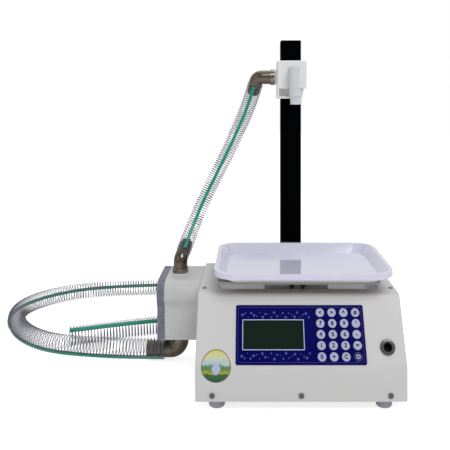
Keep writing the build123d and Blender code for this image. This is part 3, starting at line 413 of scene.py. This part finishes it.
BLACK_SCREW = Finish(
    "black_screw", (0.03, 0.03, 0.033), 0.35, 0.6, wear=0.5, worn_tone=(0.4, 0.4, 0.4),
)
GREY_RUBBER = Finish(
    "grey_rubber", (0.42, 0.42, 0.48), 0.62, texture=Texture.MOULDED, depth=0.3, dust=0.3,
)
TRAY_PLASTIC = Finish(
    "tray_plastic", (0.78, 0.765, 0.905), 0.09, coat=1.0, glow_through=0.25, depth=0.02,
    unevenness=0.02, dust=0.02,
)
PANEL_FILM = Finish(
    "panel_film", (0.0015, 0.002, 0.105), 0.32, ior=1.1, texture=Texture.MOULDED, depth=0.06,
    dust=0.004,
)
DISPLAY = Finish(
    "display", (0.009, 0.020, 0.013), 0.12, ior=1.15, depth=0.01, unevenness=0.3, dust=0.004,
)
KEY_PRINT = Finish("key_print", (0.48, 0.485, 0.66), 0.35, texture=Texture.MOULDED, depth=0.05)
INK_BLUE = Finish("ink_blue", (0.010, 0.008, 0.12), 0.4)
INK_PALE = Finish("ink_pale", (0.55, 0.57, 0.85), 0.4)
INK_FAINT = Finish("ink_faint", (0.075, 0.08, 0.33), 0.4, ior=1.15)
INK_FLOWER = Finish("ink_flower", (0.11, 0.13, 0.46), 0.4, ior=1.15)
BOARD_GREEN = Finish("board_green", (0.02, 0.16, 0.06), 0.35, coat=0.4)
DARK_CHROME = Finish(
    "dark_chrome", (0.13, 0.13, 0.13), 0.1, 1.0, wear=0.8, worn_tone=(0.9, 0.9, 0.9),
)
BLACK_PLASTIC = Finish(
    "black_plastic", (0.012, 0.012, 0.014), 0.45, ior=1.3, texture=Texture.MOULDED, depth=0.25,
)
CELL_ALUMINIUM = Finish(
    "cell_aluminium", (0.72, 0.72, 0.74), 0.3, 1.0, texture=Texture.BRUSHED, depth=0.2,
)
MOTOR_PAINT = Finish(
    "motor_paint", (0.05, 0.05, 0.055), 0.4, texture=Texture.ORANGE_PEEL, depth=0.2,
)
GEAR_STEEL = Finish("gear_steel", (0.56, 0.56, 0.57), 0.25, 1.0, texture=Texture.BRUSHED, depth=0.2)
PUMP_CASTING = Finish(
    "pump_casting", (0.58, 0.58, 0.575), 0.4, 0.05, texture=Texture.MOULDED, depth=0.07,
    unevenness=0.03, wear=0.3, worn_tone=(0.9, 0.9, 0.9),
)
ANODISED_VIOLET = Finish(
    "anodised_violet", (0.085, 0.082, 0.16), 0.45, 0.3, texture=Texture.MOULDED, depth=0.15,
    wear=0.4, worn_tone=(0.7, 0.7, 0.78),
)
NICKEL = Finish(
    "nickel", (0.175, 0.145, 0.11), 0.22, 1.0, depth=0.06, unevenness=0.35, wear=0.5,
    worn_tone=(0.75, 0.68, 0.58),
)
WHITE_NYLON = Finish("white_nylon", (0.86, 0.86, 0.85), 0.4, glow_through=0.3, depth=0.05)
BLACK_ANODISED = Finish(
    "black_anodised", (0.0012, 0.0014, 0.0022), 0.6, ior=1.04, depth=0.02, texture=Texture.BRUSHED,
    unevenness=0.3, dust=0.002,
)
MILKY_PLASTIC = Finish(
    "milky_plastic", (0.89, 0.885, 0.88), 0.3, glow_through=0.6, depth=0.04, unevenness=0.05,
)
MILKY_SPOUT = Finish(
    "milky_spout", (0.86, 0.86, 0.91), 0.2, glow_through=0.6, depth=0.03, clearness=0.2,
)
HOSE_WIRE = Finish("hose_wire", (0.075, 0.07, 0.095), 0.3, 0.7)
BADGE_EDGE = Finish("badge_edge", (0.10, 0.13, 0.05), 0.4)
DUST_TONE = (0.62, 0.61, 0.59)
HOSE_GREEN = Finish("hose_green", (0.006, 0.31, 0.20), 0.35, dust=0.02)


class ClearHose:
    """The clear plastic of a hose, ridged where the wire runs under its skin."""

    name = "finish_clear_hose"
    tone = (0.86, 0.87, 0.94, 1.0)
    least_opacity = 0.035
    rim_opacity = 0.16

    @classmethod
    def material(cls) -> bpy.types.Material:
        """The material, built on its first use."""
        found = bpy.data.materials.get(cls.name)
        if found is not None:
            return found
        made = bpy.data.materials.new(cls.name)
        made.use_nodes = True
        write = NodeWriter(made.node_tree)
        shader = write.add("ShaderNodeBsdfPrincipled")
        along = write.add("ShaderNodeUVMap", uv_map="hose").outputs[0]
        parts = write.add("ShaderNodeSeparateXYZ")
        write.join(along, parts.inputs[0])
        turns = write.math("ADD", parts.outputs["X"], parts.outputs["Y"])
        wave = write.math("SINE", write.math("MULTIPLY", turns, 2 * math.pi))
        place = write.add("ShaderNodeTexCoord").outputs["Object"]
        relief = place_group(
            write, ShaderGroups.relief(), Place=place, Tone=cls.tone, Gloss=0.16,
            Grain_Size=120.0, Grain_Depth=0.05, Unevenness=0.1,
        )
        bump = write.add("ShaderNodeBump")
        bump.inputs["Strength"].default_value = 0.35
        bump.inputs["Distance"].default_value = 0.0006
        write.join(wave, bump.inputs["Height"])
        write.join(relief.outputs["Normal"], bump.inputs["Normal"])
        rim = write.add("ShaderNodeLayerWeight")
        rim.inputs["Blend"].default_value = 0.32
        at_rim = write.math("MULTIPLY", rim.outputs["Facing"], cls.rim_opacity)
        opacity = write.math("ADD", at_rim, cls.least_opacity)
        write.join(relief.outputs["Tone"], shader.inputs["Base Color"])
        write.join(relief.outputs["Roughness"], shader.inputs["Roughness"])
        write.join(bump.outputs["Normal"], shader.inputs["Normal"])
        write.join(opacity, shader.inputs["Alpha"])
        shader.inputs["IOR"].default_value = 1.5
        end = write.add("ShaderNodeOutputMaterial")
        write.join(shader.outputs[0], end.inputs["Surface"])
        return made


class BadgePrint:
    """A plain round sticker: bands of sky and field inside a dark ring, with a water drop."""

    name = "finish_badge_print"
    drop_tone = (0.50, 0.56, 0.80)
    drop_size = 0.85

    @classmethod
    def material(cls, centre: Vector, radius: float) -> bpy.types.Material:
        """The sticker's print.

        Args:
            centre: The sticker's middle, in metres.
            radius: Its radius, in metres.

        Returns:
            The material.
        """
        made = bpy.data.materials.new(cls.name)
        made.use_nodes = True
        write = NodeWriter(made.node_tree)
        shader = write.add("ShaderNodeBsdfPrincipled")
        place = write.add("ShaderNodeTexCoord").outputs["Object"]
        centred = write.add("ShaderNodeMapping")
        centred.inputs["Location"].default_value = tuple(-value / radius for value in centre)
        centred.inputs["Scale"].default_value = (1 / radius,) * 3
        write.join(place, centred.inputs["Vector"])
        parts = write.add("ShaderNodeSeparateXYZ")
        write.join(centred.outputs[0], parts.inputs[0])
        bands = write.add("ShaderNodeValToRGB")
        stops = [
            (0.0, (0.015, 0.09, 0.025)), (0.22, (0.03, 0.15, 0.04)), (0.25, (0.50, 0.46, 0.03)),
            (0.40, (0.10, 0.28, 0.05)), (0.50, (0.12, 0.30, 0.16)), (0.54, (0.45, 0.62, 0.66)),
            (0.74, (0.70, 0.72, 0.45)), (1.0, (0.80, 0.66, 0.05)),
        ]
        for index, (position, colour) in enumerate(stops):
            if index < 2:
                stop = bands.color_ramp.elements[index]
                stop.position = position
            else:
                stop = bands.color_ramp.elements.new(position)
            stop.color = (*colour, 1.0)
        hills = write.add("ShaderNodeTexNoise")
        hills.inputs["Scale"].default_value = 2.2
        write.join(centred.outputs[0], hills.inputs["Vector"])
        height = write.math("MULTIPLY", parts.outputs["Z"], 0.52)
        height = write.math("ADD", height, 0.35)
        height = write.math("ADD", height, write.math("MULTIPLY", hills.outputs["Fac"], 0.22))
        write.join(height, bands.inputs["Fac"])
        across = write.math("POWER", write.math("ABSOLUTE", parts.outputs["X"]), 2.0)
        rise = write.math("ABSOLUTE", write.math("ADD", parts.outputs["Z"], 0.1))
        drop = write.math("ADD", write.math("MULTIPLY", across, 9.0), write.math("MULTIPLY", rise, 2.1))
        inside = write.math("LESS_THAN", drop, cls.drop_size)
        colour = write.blend(inside, bands.outputs["Color"], cls.drop_tone)
        write.join(colour, shader.inputs["Base Color"])
        shader.inputs["Roughness"].default_value = 0.35
        end = write.add("ShaderNodeOutputMaterial")
        write.join(shader.outputs[0], end.inputs["Surface"])
        return made


def deselect() -> None:
    """Leaves edit mode and selects nothing."""
    if bpy.context.object is not None and bpy.context.object.mode != "OBJECT":
        bpy.ops.object.mode_set(mode="OBJECT")
    bpy.ops.object.select_all(action="DESELECT")


def settle(piece: bpy.types.Object, placement: Matrix | None = None) -> None:
    """Moves a piece's placement into its mesh, so that its object stays at the origin.

    Args:
        piece: The finished piece.
        placement: Where it goes, when it was modelled at the origin.
    """
    deselect()
    if placement is not None:
        piece.matrix_world = placement @ piece.matrix_world
    piece.select_set(True)
    bpy.context.view_layer.objects.active = piece
    bpy.context.view_layer.update()
    bpy.ops.object.transform_apply(location=True, rotation=True, scale=True)
    piece.select_set(False)


def apply_modifiers(piece: bpy.types.Object) -> None:
    """Applies every modifier of a piece in order."""
    deselect()
    piece.select_set(True)
    bpy.context.view_layer.objects.active = piece
    for modifier in list(piece.modifiers):
        bpy.ops.object.modifier_apply(modifier=modifier.name)


def finish_piece(
    piece: bpy.types.Object, name: str, material: bpy.types.Material, body: str,
) -> bpy.types.Object:
    """Names and dresses a piece, and makes it move with its body.

    Args:
        piece: The piece.
        name: Its name.
        material: Its material.
        body: The body that it moves with.

    Returns:
        The same piece.
    """
    piece.name = name
    piece.data.name = name
    piece.data.materials.clear()
    piece.data.materials.append(material)
    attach(piece, body)
    log.info("built %s on %s", name, body)
    return piece


# ---- dressing of the hard pieces ----
@dataclass
class HardPieces:
    """Gives every hard piece of the model its finish."""

    finishes: dict[str, Finish] = field(default_factory=lambda: {
        "housing_shell": POWDER_COAT, "rear_panel": POWDER_COAT, "base_plate": ZINC_SHEET,
        # The platform plate's brown tone is painted shade from the tray above it.
        "platform_bracket": BRACKET_SHEET, "platform_plate": UNDER_TRAY_SHADE_BOARD,
        "power_supply": ZINC_SHEET, "well_pan": WHITE_SHEET,
        "housing_screws": SCREW_STEEL, "load_cell_bolts": SCREW_STEEL,
        "cover_screws": SCREW_STEEL, "motor_shaft": SCREW_STEEL, "stop_screws": BLACK_SCREW,
        "rubber_feet": GREY_RUBBER, "tray": TRAY_PLASTIC, "keypad_overlay": PANEL_FILM,
        "lcd_window": DISPLAY, "control_board": BOARD_GREEN, "socket_ring": DARK_CHROME,
        "socket_insert": BLACK_PLASTIC, "power_inlet": BLACK_PLASTIC, "switch_rocker": BLACK_PLASTIC,
        "clamp_knob": BLACK_PLASTIC, "load_cell": CELL_ALUMINIUM, "gear_motor": MOTOR_PAINT,
        "drive_gear": GEAR_STEEL, "idler_gear": GEAR_STEEL, "shaft_coupling": GEAR_STEEL,
        "pump_body": PUMP_CASTING, "pump_cover": ANODISED_VIOLET, "outlet_elbow": NICKEL,
        "inlet_elbow": NICKEL, "nozzle_elbow": NICKEL, "port_washer": WHITE_NYLON,
        "nozzle_washer": WHITE_NYLON, "column": BLACK_ANODISED, "nozzle_clamp": BLACK_ANODISED,
        "nozzle_block": MILKY_PLASTIC, "nozzle_spout": MILKY_SPOUT, "key_row1_column4": INK_BLUE,
    })

    def dress(self) -> None:
        """Assigns the finishes; the keys that aren't listed share the key print."""
        for name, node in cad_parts.items():
            finish = self.finishes.get(name, KEY_PRINT)
            if not node.material_slots:
                node.data.materials.append(finish.material())
            for place in node.material_slots:
                place.material = finish.material()
            log.info("dressed %s in %s", name, finish.name)


# ---- hoses ----
@dataclass
class MeshParts:
    """The points and faces of a mesh while it is being put together."""

    points: list[Vector] = field(default_factory=list)
    uvs: list[tuple[float, float]] = field(default_factory=list)
    faces: list[tuple[int, ...]] = field(default_factory=list)
    slots: list[int] = field(default_factory=list)

    def add_point(self, place: Vector, uv: tuple[float, float] = (0.0, 0.0)) -> None:
        """Adds a point with its place on the unrolled wall."""
        self.points.append(place)
        self.uvs.append(uv)

    def add_face(self, corners: tuple[int, ...], slot: int) -> None:
        """Adds a face with its material slot."""
        self.faces.append(corners)
        self.slots.append(slot)


@dataclass
class Hose:
    """A clear hose with a steel wire wound in its wall and green stripes along it."""

    name: str
    node: str
    route: Sequence[Point]
    outer: float
    inner: float
    pitch: float
    wire: float
    stripe_turn: float
    ring_step: float
    sides: int = 32
    stripe_columns: Sequence[int] = (0, 1)
    twist: float = 0.0
    wire_steps: int = 20
    line: list[Vector] = field(default_factory=list, init=False)
    axes: list[Axes] = field(default_factory=list, init=False)
    length: float = field(default=0.0, init=False)

    def centreline(self) -> list[Vector]:
        """Evenly spaced points along the smooth line that the hose follows, in metres."""
        curve = bpy.data.curves.new(self.name + "_line", "CURVE")
        curve.dimensions = "3D"
        curve.resolution_u = 24
        spline = curve.splines.new("NURBS")
        spline.points.add(len(self.route) - 1)
        for point, place in zip(spline.points, self.route):
            point.co = (*MACHINE.at(*place), 1.0)
        spline.order_u = 3
        spline.use_endpoint_u = True
        line = bpy.data.objects.new(self.name + "_line", curve)
        mesh = bpy.data.meshes.new_from_object(line)
        dense = [vertex.co.copy() for vertex in mesh.vertices]
        bpy.data.meshes.remove(mesh)
        bpy.data.objects.remove(line)
        bpy.data.curves.remove(curve)
        return self._even(dense)

    def _even(self, dense: list[Vector]) -> list[Vector]:
        """The same line with its points at equal distances."""
        reach = [0.0]
        for before, after in zip(dense, dense[1:]):
            reach.append(reach[-1] + (after - before).length)
        steps = max(8, round(reach[-1] / (self.ring_step * MM)))
        places, index = [], 0
        for step in range(steps + 1):
            goal = reach[-1] * step / steps
            while index < len(reach) - 2 and reach[index + 1] < goal:
                index += 1
            span = reach[index + 1] - reach[index]
            share = (goal - reach[index]) / span if span else 0.0
            places.append(dense[index].lerp(dense[index + 1], min(max(share, 0.0), 1.0)))
        return places

    @staticmethod
    def _axes(line: list[Vector]) -> list[Axes]:
        """Each point's direction and two sideways directions that don't twist."""
        axes = []
        side = None
        for index in range(len(line)):
            ahead = line[min(index + 1, len(line) - 1)] - line[max(index - 1, 0)]
            ahead.normalize()
            if side is None:
                side = Vector((0, -1, 0)) if abs(ahead.y) < 0.9 else Vector((0, 0, 1))
            side = (side - ahead * side.dot(ahead)).normalized()
            axes.append((ahead, side, ahead.cross(side)))
        return axes

    def build(self) -> bpy.types.Object:
        """Makes the hose as one mesh of tube, stripes and wire.

        Returns:
            The hose, dressed and standing for its solid in the model.
        """
        self.line = self.centreline()
        self.axes = self._axes(self.line)
        self.length = sum((after - before).length for before, after in zip(self.line, self.line[1:]))
        parts = MeshParts()
        self._tube(parts)
        self._winding(parts)
        mesh = bpy.data.meshes.new(self.name)
        mesh.from_pydata([tuple(point) for point in parts.points], [], parts.faces)
        layer = mesh.uv_layers.new(name="hose")
        for loop in mesh.loops:
            layer.data[loop.index].uv = parts.uvs[loop.vertex_index]
        for finish in (ClearHose.material(), HOSE_GREEN.material(), HOSE_WIRE.material()):
            mesh.materials.append(finish)
        mesh.polygons.foreach_set("material_index", parts.slots)
        mesh.polygons.foreach_set("use_smooth", [True] * len(parts.slots))
        mesh.update()
        piece = bpy.data.objects.new(self.name, mesh)
        bpy.context.scene.collection.objects.link(piece)
        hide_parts(self.node)
        log.info("built %s, %.3f m long", self.name, self.length)
        return piece

    def _tube(self, parts: MeshParts) -> None:
        """Adds the outer and inner walls and closes them at both ends."""
        rings = len(self.line)
        for radius in (self.outer * MM, self.inner * MM):
            for index, (centre, (_, side, up)) in enumerate(zip(self.line, self.axes)):
                share = index / (rings - 1)
                turns = self.length * share / (self.pitch * MM)
                for step in range(self.sides):
                    angle = self.stripe_turn + self.twist * share + 2 * math.pi * step / self.sides
                    outward = side * math.cos(angle) + up * math.sin(angle)
                    parts.add_point(centre + outward * radius, (turns, -step / self.sides))
        inner = rings * self.sides
        for index in range(rings - 1):
            for step in range(self.sides):
                after = (step + 1) % self.sides
                a, b = index * self.sides + step, index * self.sides + after
                c, d = b + self.sides, a + self.sides
                slot = 1 if step in self.stripe_columns else 0
                parts.add_face((a, b, c, d), slot)
                parts.add_face((inner + d, inner + c, inner + b, inner + a), slot)
        last = (rings - 1) * self.sides
        for step in range(self.sides):
            after = (step + 1) % self.sides
            parts.add_face((step, inner + step, inner + after, after), 0)
            parts.add_face((last + after, inner + last + after, inner + last + step, last + step), 0)

    def _winding(self, parts: MeshParts) -> None:
        """Adds the wire as a thin four-sided coil in the middle of the wall."""
        radius = (self.outer + self.inner) / 2 * MM
        half = self.wire * MM
        margin = 1.5 * half
        turns = (self.length - 2 * margin) / (self.pitch * MM)
        steps = int(turns * self.wire_steps)
        start = len(parts.points)
        for step in range(steps + 1):
            reach = (margin + (self.length - 2 * margin) * step / steps) / self.length * (len(self.line) - 1)
            index = min(int(reach), len(self.line) - 2)
            share = reach - index
            centre = self.line[index].lerp(self.line[index + 1], share)
            ahead, side, up = (
                before.lerp(after, share).normalized()
                for before, after in zip(self.axes[index], self.axes[index + 1])
            )
            angle = 2 * math.pi * turns * step / steps
            outward = side * math.cos(angle) + up * math.sin(angle)
            middle = centre + outward * radius
            for offset in (outward, ahead, -outward, -ahead):
                parts.add_point(middle + offset * half)
        for step in range(steps):
            low = start + step * 4
            for corner in range(4):
                following = (corner + 1) % 4
                quad = (low + corner, low + following, low + 4 + following, low + 4 + corner)
                parts.add_face(quad, 2)
        high = start + steps * 4
        parts.add_face((start + 3, start + 2, start + 1, start), 2)
        parts.add_face((high, high + 1, high + 2, high + 3), 2)


FLOOR_LINE = 20.1
INTAKE_ROUTE = [(x, y, FLOOR_LINE) for x, y in (
    (-252, 203.9), (-305, 203.9), (-357, 206), (-409, 213), (-459, 222), (-506, 241), (-549, 274),
    (-584, 316), (-609, 364), (-621, 412), (-613, 463), (-585, 507), (-547, 541), (-501, 564),
    (-450, 576), (-398, 582), (-346, 585), (-294, 590), (-242, 599), (-190, 613), (-138, 630),
    (-85, 644), (-31, 648), (22, 636), (68, 605), (99, 559), (109, 505), (99, 451), (69, 405),
    (24, 372), (-28, 354), (-82, 347), (-136, 347), (-190, 346), (-238, 338), (-286, 326),
    (-332, 312), (-377, 296), (-419, 280), (-460, 265),
)]
OUTLET_CORNER = Vector((-222.0, 203.9, 196.5))
NOZZLE_CORNER = Vector((-70.0, 217.3, 556.3))
OUTLET_MIDDLE = [
    (-206.8, 250.5, 238.0), (-182.0, 272.0, 300.0), (-147.0, 281.0, 370.0),
    (-112.0, 274.0, 442.0), (-84.0, 251.0, 508.0),
]


@dataclass
class Hoses:
    """The intake hose on the bench and the outlet hose up to the nozzle."""

    outlet_shoulder: float = 18.0
    nozzle_shoulder: float = 15.0

    def build(self) -> None:
        """Builds both hoses and makes the intake hose move with the machine."""
        first = OUTLET_CORNER + (Vector(OUTLET_MIDDLE[0]) - OUTLET_CORNER).normalized() * self.outlet_shoulder
        last = NOZZLE_CORNER + (Vector(OUTLET_MIDDLE[-1]) - NOZZLE_CORNER).normalized() * self.nozzle_shoulder
        outlet = Hose(
            "filling_hose", "outlet_hose", [tuple(first), *OUTLET_MIDDLE, tuple(last)],
            outer=16.0, inner=12.6, pitch=4.7, wire=0.62, stripe_turn=-0.2, ring_step=5.0,
        )
        piece = outlet.build()
        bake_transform(piece)
        intake = Hose(
            "intake_hose", "inlet_hose", INTAKE_ROUTE, outer=20.0, inner=16.1, pitch=6.5,
            wire=0.75, stripe_turn=-0.95, twist=1.75, ring_step=10.0, wire_steps=18,
        )
        piece = intake.build()
        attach(piece, "machine")


# ---- print of the control panel ----
@dataclass
class PanelPrint:
    """Printed lines, small flowers and key signs on the control panel."""

    film: float = 1.2
    ink: float = 0.06
    overlay_width: float = 217.0
    overlay_height: float = 94.5
    overlay_low: float = 4.8
    window_x: float = -45.4
    window_low: float = 28.7
    window_width: float = 101.7
    window_height: float = 46.0
    key_first_x: float = 34.6
    key_first_y: float = 17.2
    key_pitch_x: float = 20.1
    key_pitch_y: float = 17.45
    key_face: float = 1.65
    border_inset: float = 7.0
    window_outset: float = 2.6
    flower_count: int = 24
    flower_radius: float = 2.9
    flower_span: float = 118.0
    sign_size: float = 9.0
    sign_weight: float = 0.38
    power_key: tuple[int, int] = (0, 3)
    signs: Sequence[Sequence[str]] = (
        ("0", "+", "C", "O"), ("1", "2", "3", "="), ("4", "5", "6", "-"),
        ("7", "8", "9", "*"), ("<", ">", "^", "#"),
    )

    def build(self) -> None:
        """Builds every printed piece of the panel."""
        middle = self.overlay_low + self.overlay_height / 2
        self._frame_line(
            "panel_border", 0, middle, self.overlay_width - self.border_inset,
            self.overlay_height - self.border_inset, 0.5, 2.5, INK_FAINT,
        )
        low = self.window_low + self.window_height / 2
        self._frame_line(
            "window_border", self.window_x, low, self.window_width + self.window_outset,
            self.window_height + self.window_outset, 1.3, 0.3, INK_PALE,
        )
        self._flowers()
        self._key_signs()

    def _frame_line(
        self, name: str, x: float, up: float, width: float, height: float, line: float,
        corner: float, finish: Finish,
    ) -> None:
        """Makes a rounded frame of ink.

        Args:
            name: The piece's name.
            x: Its middle across the panel.
            up: Its middle up the slope.
            width: Its outer width.
            height: Its outer height.
            line: The width of the line.
            corner: The radius of the outer corners.
            finish: The ink.
        """
        deselect()
        bpy.ops.mesh.primitive_plane_add(size=1.0)
        piece = bpy.context.object
        piece.scale = (width * MM, height * MM, 1.0)
        bpy.ops.object.transform_apply(location=False, rotation=False, scale=True)
        bpy.ops.object.mode_set(mode="EDIT")
        bpy.ops.mesh.select_all(action="SELECT")
        bpy.ops.mesh.bevel(offset=corner * MM, segments=5, affect="VERTICES")
        bpy.ops.mesh.select_all(action="SELECT")
        bpy.ops.mesh.inset(thickness=line * MM)
        bpy.ops.mesh.delete(type="FACE")
        bpy.ops.object.mode_set(mode="OBJECT")
        thick = piece.modifiers.new("ink", "SOLIDIFY")
        thick.thickness = self.ink * MM
        thick.offset = 1.0
        apply_modifiers(piece)
        settle(piece, MACHINE.slope(x, up, self.film))
        finish_piece(piece, name, finish.material(), "machine")

    def _flowers(self) -> None:
        """Scatters small six-leaved flowers above and below the window."""
        deselect()
        bpy.ops.mesh.primitive_circle_add(
            vertices=12, radius=self.flower_radius * MM, fill_type="NGON",
        )
        flower = bpy.context.object
        for vertex in flower.data.vertices:
            if vertex.index % 2:
                vertex.co *= 0.35
        places = []
        for index in range(self.flower_count):
            x = self.window_x - 52 + index * self.flower_span / self.flower_count
            swing = math.sin(index * 2.4)
            size = 0.8 + 0.35 * math.cos(index * 1.7)
            above = self.window_low + self.window_height + 8.5 + 4.0 * swing
            below = self.window_low - 10.5 - 4.5 * swing
            places += [(x, above, size), (x - 1.0, below, size)]
        copies = []
        for index, (x, up, size) in enumerate(places):
            copy = flower.copy()
            copy.data = flower.data.copy()
            bpy.context.scene.collection.objects.link(copy)
            copy.matrix_world = (
                MACHINE.slope(x, up, self.film + 0.02)
                @ Matrix.Rotation(index * 0.7, 4, "Z") @ Matrix.Scale(size, 4)
            )
            copies.append(copy)
        bpy.data.objects.remove(flower)
        deselect()
        for copy in copies:
            copy.select_set(True)
        bpy.context.view_layer.objects.active = copies[0]
        bpy.ops.object.join()
        piece = bpy.context.object
        settle(piece)
        finish_piece(piece, "panel_flowers", INK_FLOWER.material(), "machine")

    def _key_signs(self) -> None:
        """Puts a figure or a plain sign on each key."""
        for row, signs in enumerate(self.signs):
            for column, sign in enumerate(signs):
                deselect()
                bpy.ops.object.text_add()
                text = bpy.context.object
                text.data.body = sign
                text.data.align_x = "CENTER"
                text.data.align_y = "CENTER"
                text.data.size = self.sign_size * MM
                text.data.offset = self.sign_weight * MM
                text.data.resolution_u = 3
                bpy.ops.object.convert(target="MESH")
                piece = bpy.context.object
                thick = piece.modifiers.new("ink", "SOLIDIFY")
                thick.thickness = self.ink * MM
                thick.offset = 1.0
                apply_modifiers(piece)
                x = self.key_first_x + column * self.key_pitch_x
                up = self.key_first_y + row * self.key_pitch_y
                settle(piece, MACHINE.slope(x, up, self.key_face))
                key = f"key_row{row + 1}_column{column + 1}"
                ink = INK_PALE if (row, column) == self.power_key else INK_BLUE
                name = f"sign_row{row + 1}_column{column + 1}"
                finish_piece(piece, name, ink.material(), key)


@dataclass
class Badge:
    """A round sticker that wraps over the bend of the housing's front."""

    x: float = -140.6
    height: float = 73.0
    radius: float = 24.5
    thickness: float = 0.25
    standoff: float = 0.04

    def build(self) -> None:
        """Lays a fine disc onto the sheet and gives it its print and its ring."""
        centre = MACHINE.at(self.x, 0, self.height)
        for name, scale, lift in (("badge_rim", 1.0, 0.15), ("badge_face", 0.955, 0.32)):
            deselect()
            bpy.ops.mesh.primitive_grid_add(x_subdivisions=36, y_subdivisions=36, size=2.0)
            disc = bpy.context.object
            for vertex in disc.data.vertices:
                x, y = vertex.co.x, vertex.co.y
                vertex.co.x = x * math.sqrt(1 - y * y / 2)
                vertex.co.y = y * math.sqrt(1 - x * x / 2)
            disc.scale = (self.radius * scale * MM,) * 3
            disc.rotation_euler = (math.radians(90), 0, 0)
            disc.location = centre + Vector((0, -self.standoff, 0))
            settle(disc)
            self._press(disc, lift)
            if name == "badge_rim":
                material = BADGE_EDGE.material()
            else:
                material = BadgePrint.material(centre, self.radius * MM)
            finish_piece(disc, name, material, "machine")

    def _press(self, disc: bpy.types.Object, lift: float) -> None:
        """Presses a disc onto the housing and gives it its thickness."""
        wrap = disc.modifiers.new("wrap", "SHRINKWRAP")
        wrap.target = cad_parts["housing_shell"]
        wrap.wrap_method = "PROJECT"
        wrap.use_project_y = True
        wrap.use_positive_direction = True
        wrap.offset = lift * MM
        apply_modifiers(disc)
        thick = disc.modifiers.new("sheet", "SOLIDIFY")
        thick.thickness = self.thickness * MM * 0.5
        thick.offset = 0.0
        apply_modifiers(disc)
        disc.data.shade_smooth()


# ---- studio ----
@dataclass
class Studio:
    """A pale floor, soft lights and the camera."""

    camera_place: Point = (-0.0281, -1.1626, 0.521)
    lens: float = 48.7
    shift_x: float = -0.0556
    shift_y: float = -0.2889
    floor_glow: tuple[float, float] = (0.06, 0.72)
    front_to_back: tuple[float, float] = (-0.2, 0.5)
    light_from: tuple[float, float] = (0.36, 0.74)

    def build(self) -> None:
        """Adds the floor, the lights, the surroundings and the camera."""
        self._floor()
        self._light("key_light", (0.8, -1.9, 2.5), (0.0, 0.0, 0.2), 1.2, 33.0)
        self._light("fill_light", (-1.7, -1.3, 1.2), (0.0, 0.0, 0.25), 1.4, 3.0)
        self._light("top_light", (0.1, 0.7, 2.5), (0.0, 0.0, 0.2), 1.4, 6.0)
        self._surroundings()
        self._camera()

    def _floor(self) -> None:
        """Adds a wide pale floor."""
        deselect()
        bpy.ops.mesh.primitive_plane_add(size=14.0, location=(0, 0, -0.0005))
        floor = bpy.context.object
        floor.name = "studio_floor"
        material = bpy.data.materials.new("finish_floor")
        material.use_nodes = True
        shader = material.node_tree.nodes["Principled BSDF"]
        path = material.node_tree.nodes.new("ShaderNodeLightPath")
        level = material.node_tree.nodes.new("ShaderNodeMapRange")
        level.inputs["To Min"].default_value, level.inputs["To Max"].default_value = self.floor_glow
        material.node_tree.links.new(path.outputs["Is Camera Ray"], level.inputs["Value"])
        material.node_tree.links.new(level.outputs["Result"], shader.inputs["Emission Strength"])
        shader.inputs["Base Color"].default_value = (0.9, 0.9, 0.9, 1.0)
        shader.inputs["Roughness"].default_value = 0.9
        shader.inputs["Emission Color"].default_value = (1, 1, 1, 1)
        floor.data.materials.append(material)

    def _light(self, name: str, place: Point, aim: Point, size: float, power: float) -> None:
        """Adds a square soft light.

        Args:
            name: Its name.
            place: Where it stands, in metres.
            aim: What it points at, in metres.
            size: The length of its side.
            power: Its power in watts.
        """
        lamp = bpy.data.lights.new(name, "AREA")
        lamp.size = size
        lamp.energy = power
        holder = bpy.data.objects.new(name, lamp)
        bpy.context.scene.collection.objects.link(holder)
        holder.location = place
        holder.rotation_euler = (Vector(aim) - Vector(place)).to_track_quat("-Z", "Y").to_euler()

    def _surroundings(self) -> None:
        """Makes the surroundings white to the eye; as a light they are dim in front, bright behind."""
        world = bpy.data.worlds.new("studio")
        bpy.context.scene.world = world
        world.use_nodes = True
        write = NodeWriter(world.node_tree)
        path = write.add("ShaderNodeLightPath")
        dim = write.add("ShaderNodeBackground")
        dim.inputs["Color"].default_value = (0.96, 0.97, 1.0, 1.0)
        parts = write.add("ShaderNodeSeparateXYZ")
        write.join(write.add("ShaderNodeTexCoord").outputs["Generated"], parts.inputs[0])
        strength = write.add("ShaderNodeMapRange")
        labels = ("From Min", "From Max", "To Min", "To Max")
        for label, value in zip(labels, (*self.front_to_back, *self.light_from)):
            strength.inputs[label].default_value = value
        write.join(parts.outputs["Y"], strength.inputs["Value"])
        write.join(strength.outputs["Result"], dim.inputs["Strength"])
        bright = write.add("ShaderNodeBackground")
        bright.inputs["Color"].default_value = (1.0, 1.0, 1.0, 1.0)
        bright.inputs["Strength"].default_value = 1.0
        mix = write.add("ShaderNodeMixShader")
        write.join(path.outputs["Is Camera Ray"], mix.inputs[0])
        write.join(dim.outputs[0], mix.inputs[1])
        write.join(bright.outputs[0], mix.inputs[2])
        end = write.add("ShaderNodeOutputWorld")
        write.join(mix.outputs[0], end.inputs["Surface"])
        bpy.context.scene.view_settings.view_transform = "Standard"

    def _camera(self) -> None:
        """Adds a level camera in front of the machine."""
        camera = bpy.data.cameras.new("camera")
        camera.lens = self.lens
        camera.sensor_width = 36.0
        camera.shift_x = self.shift_x
        camera.shift_y = self.shift_y
        camera.clip_end = 40.0
        holder = bpy.data.objects.new("camera", camera)
        bpy.context.scene.collection.objects.link(holder)
        holder.location = self.camera_place
        holder.rotation_euler = (math.radians(90), 0, 0)
        bpy.context.scene.camera = holder


def corners(box: Iterable[Sequence[float]]) -> list[list[float]]:
    """A box's two corners as plain lists of numbers."""
    return [[float(value) for value in corner] for corner in box]


def main() -> None:
    """Builds the looks of the whole machine."""
    logging.basicConfig(level=logging.INFO, format="%(name)s: %(message)s")
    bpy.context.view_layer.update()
    HardPieces().dress()
    Studio().build()
    Hoses().build()
    PanelPrint().build()
    Badge().build()
    deselect()


if __name__ == "__main__":
    main()
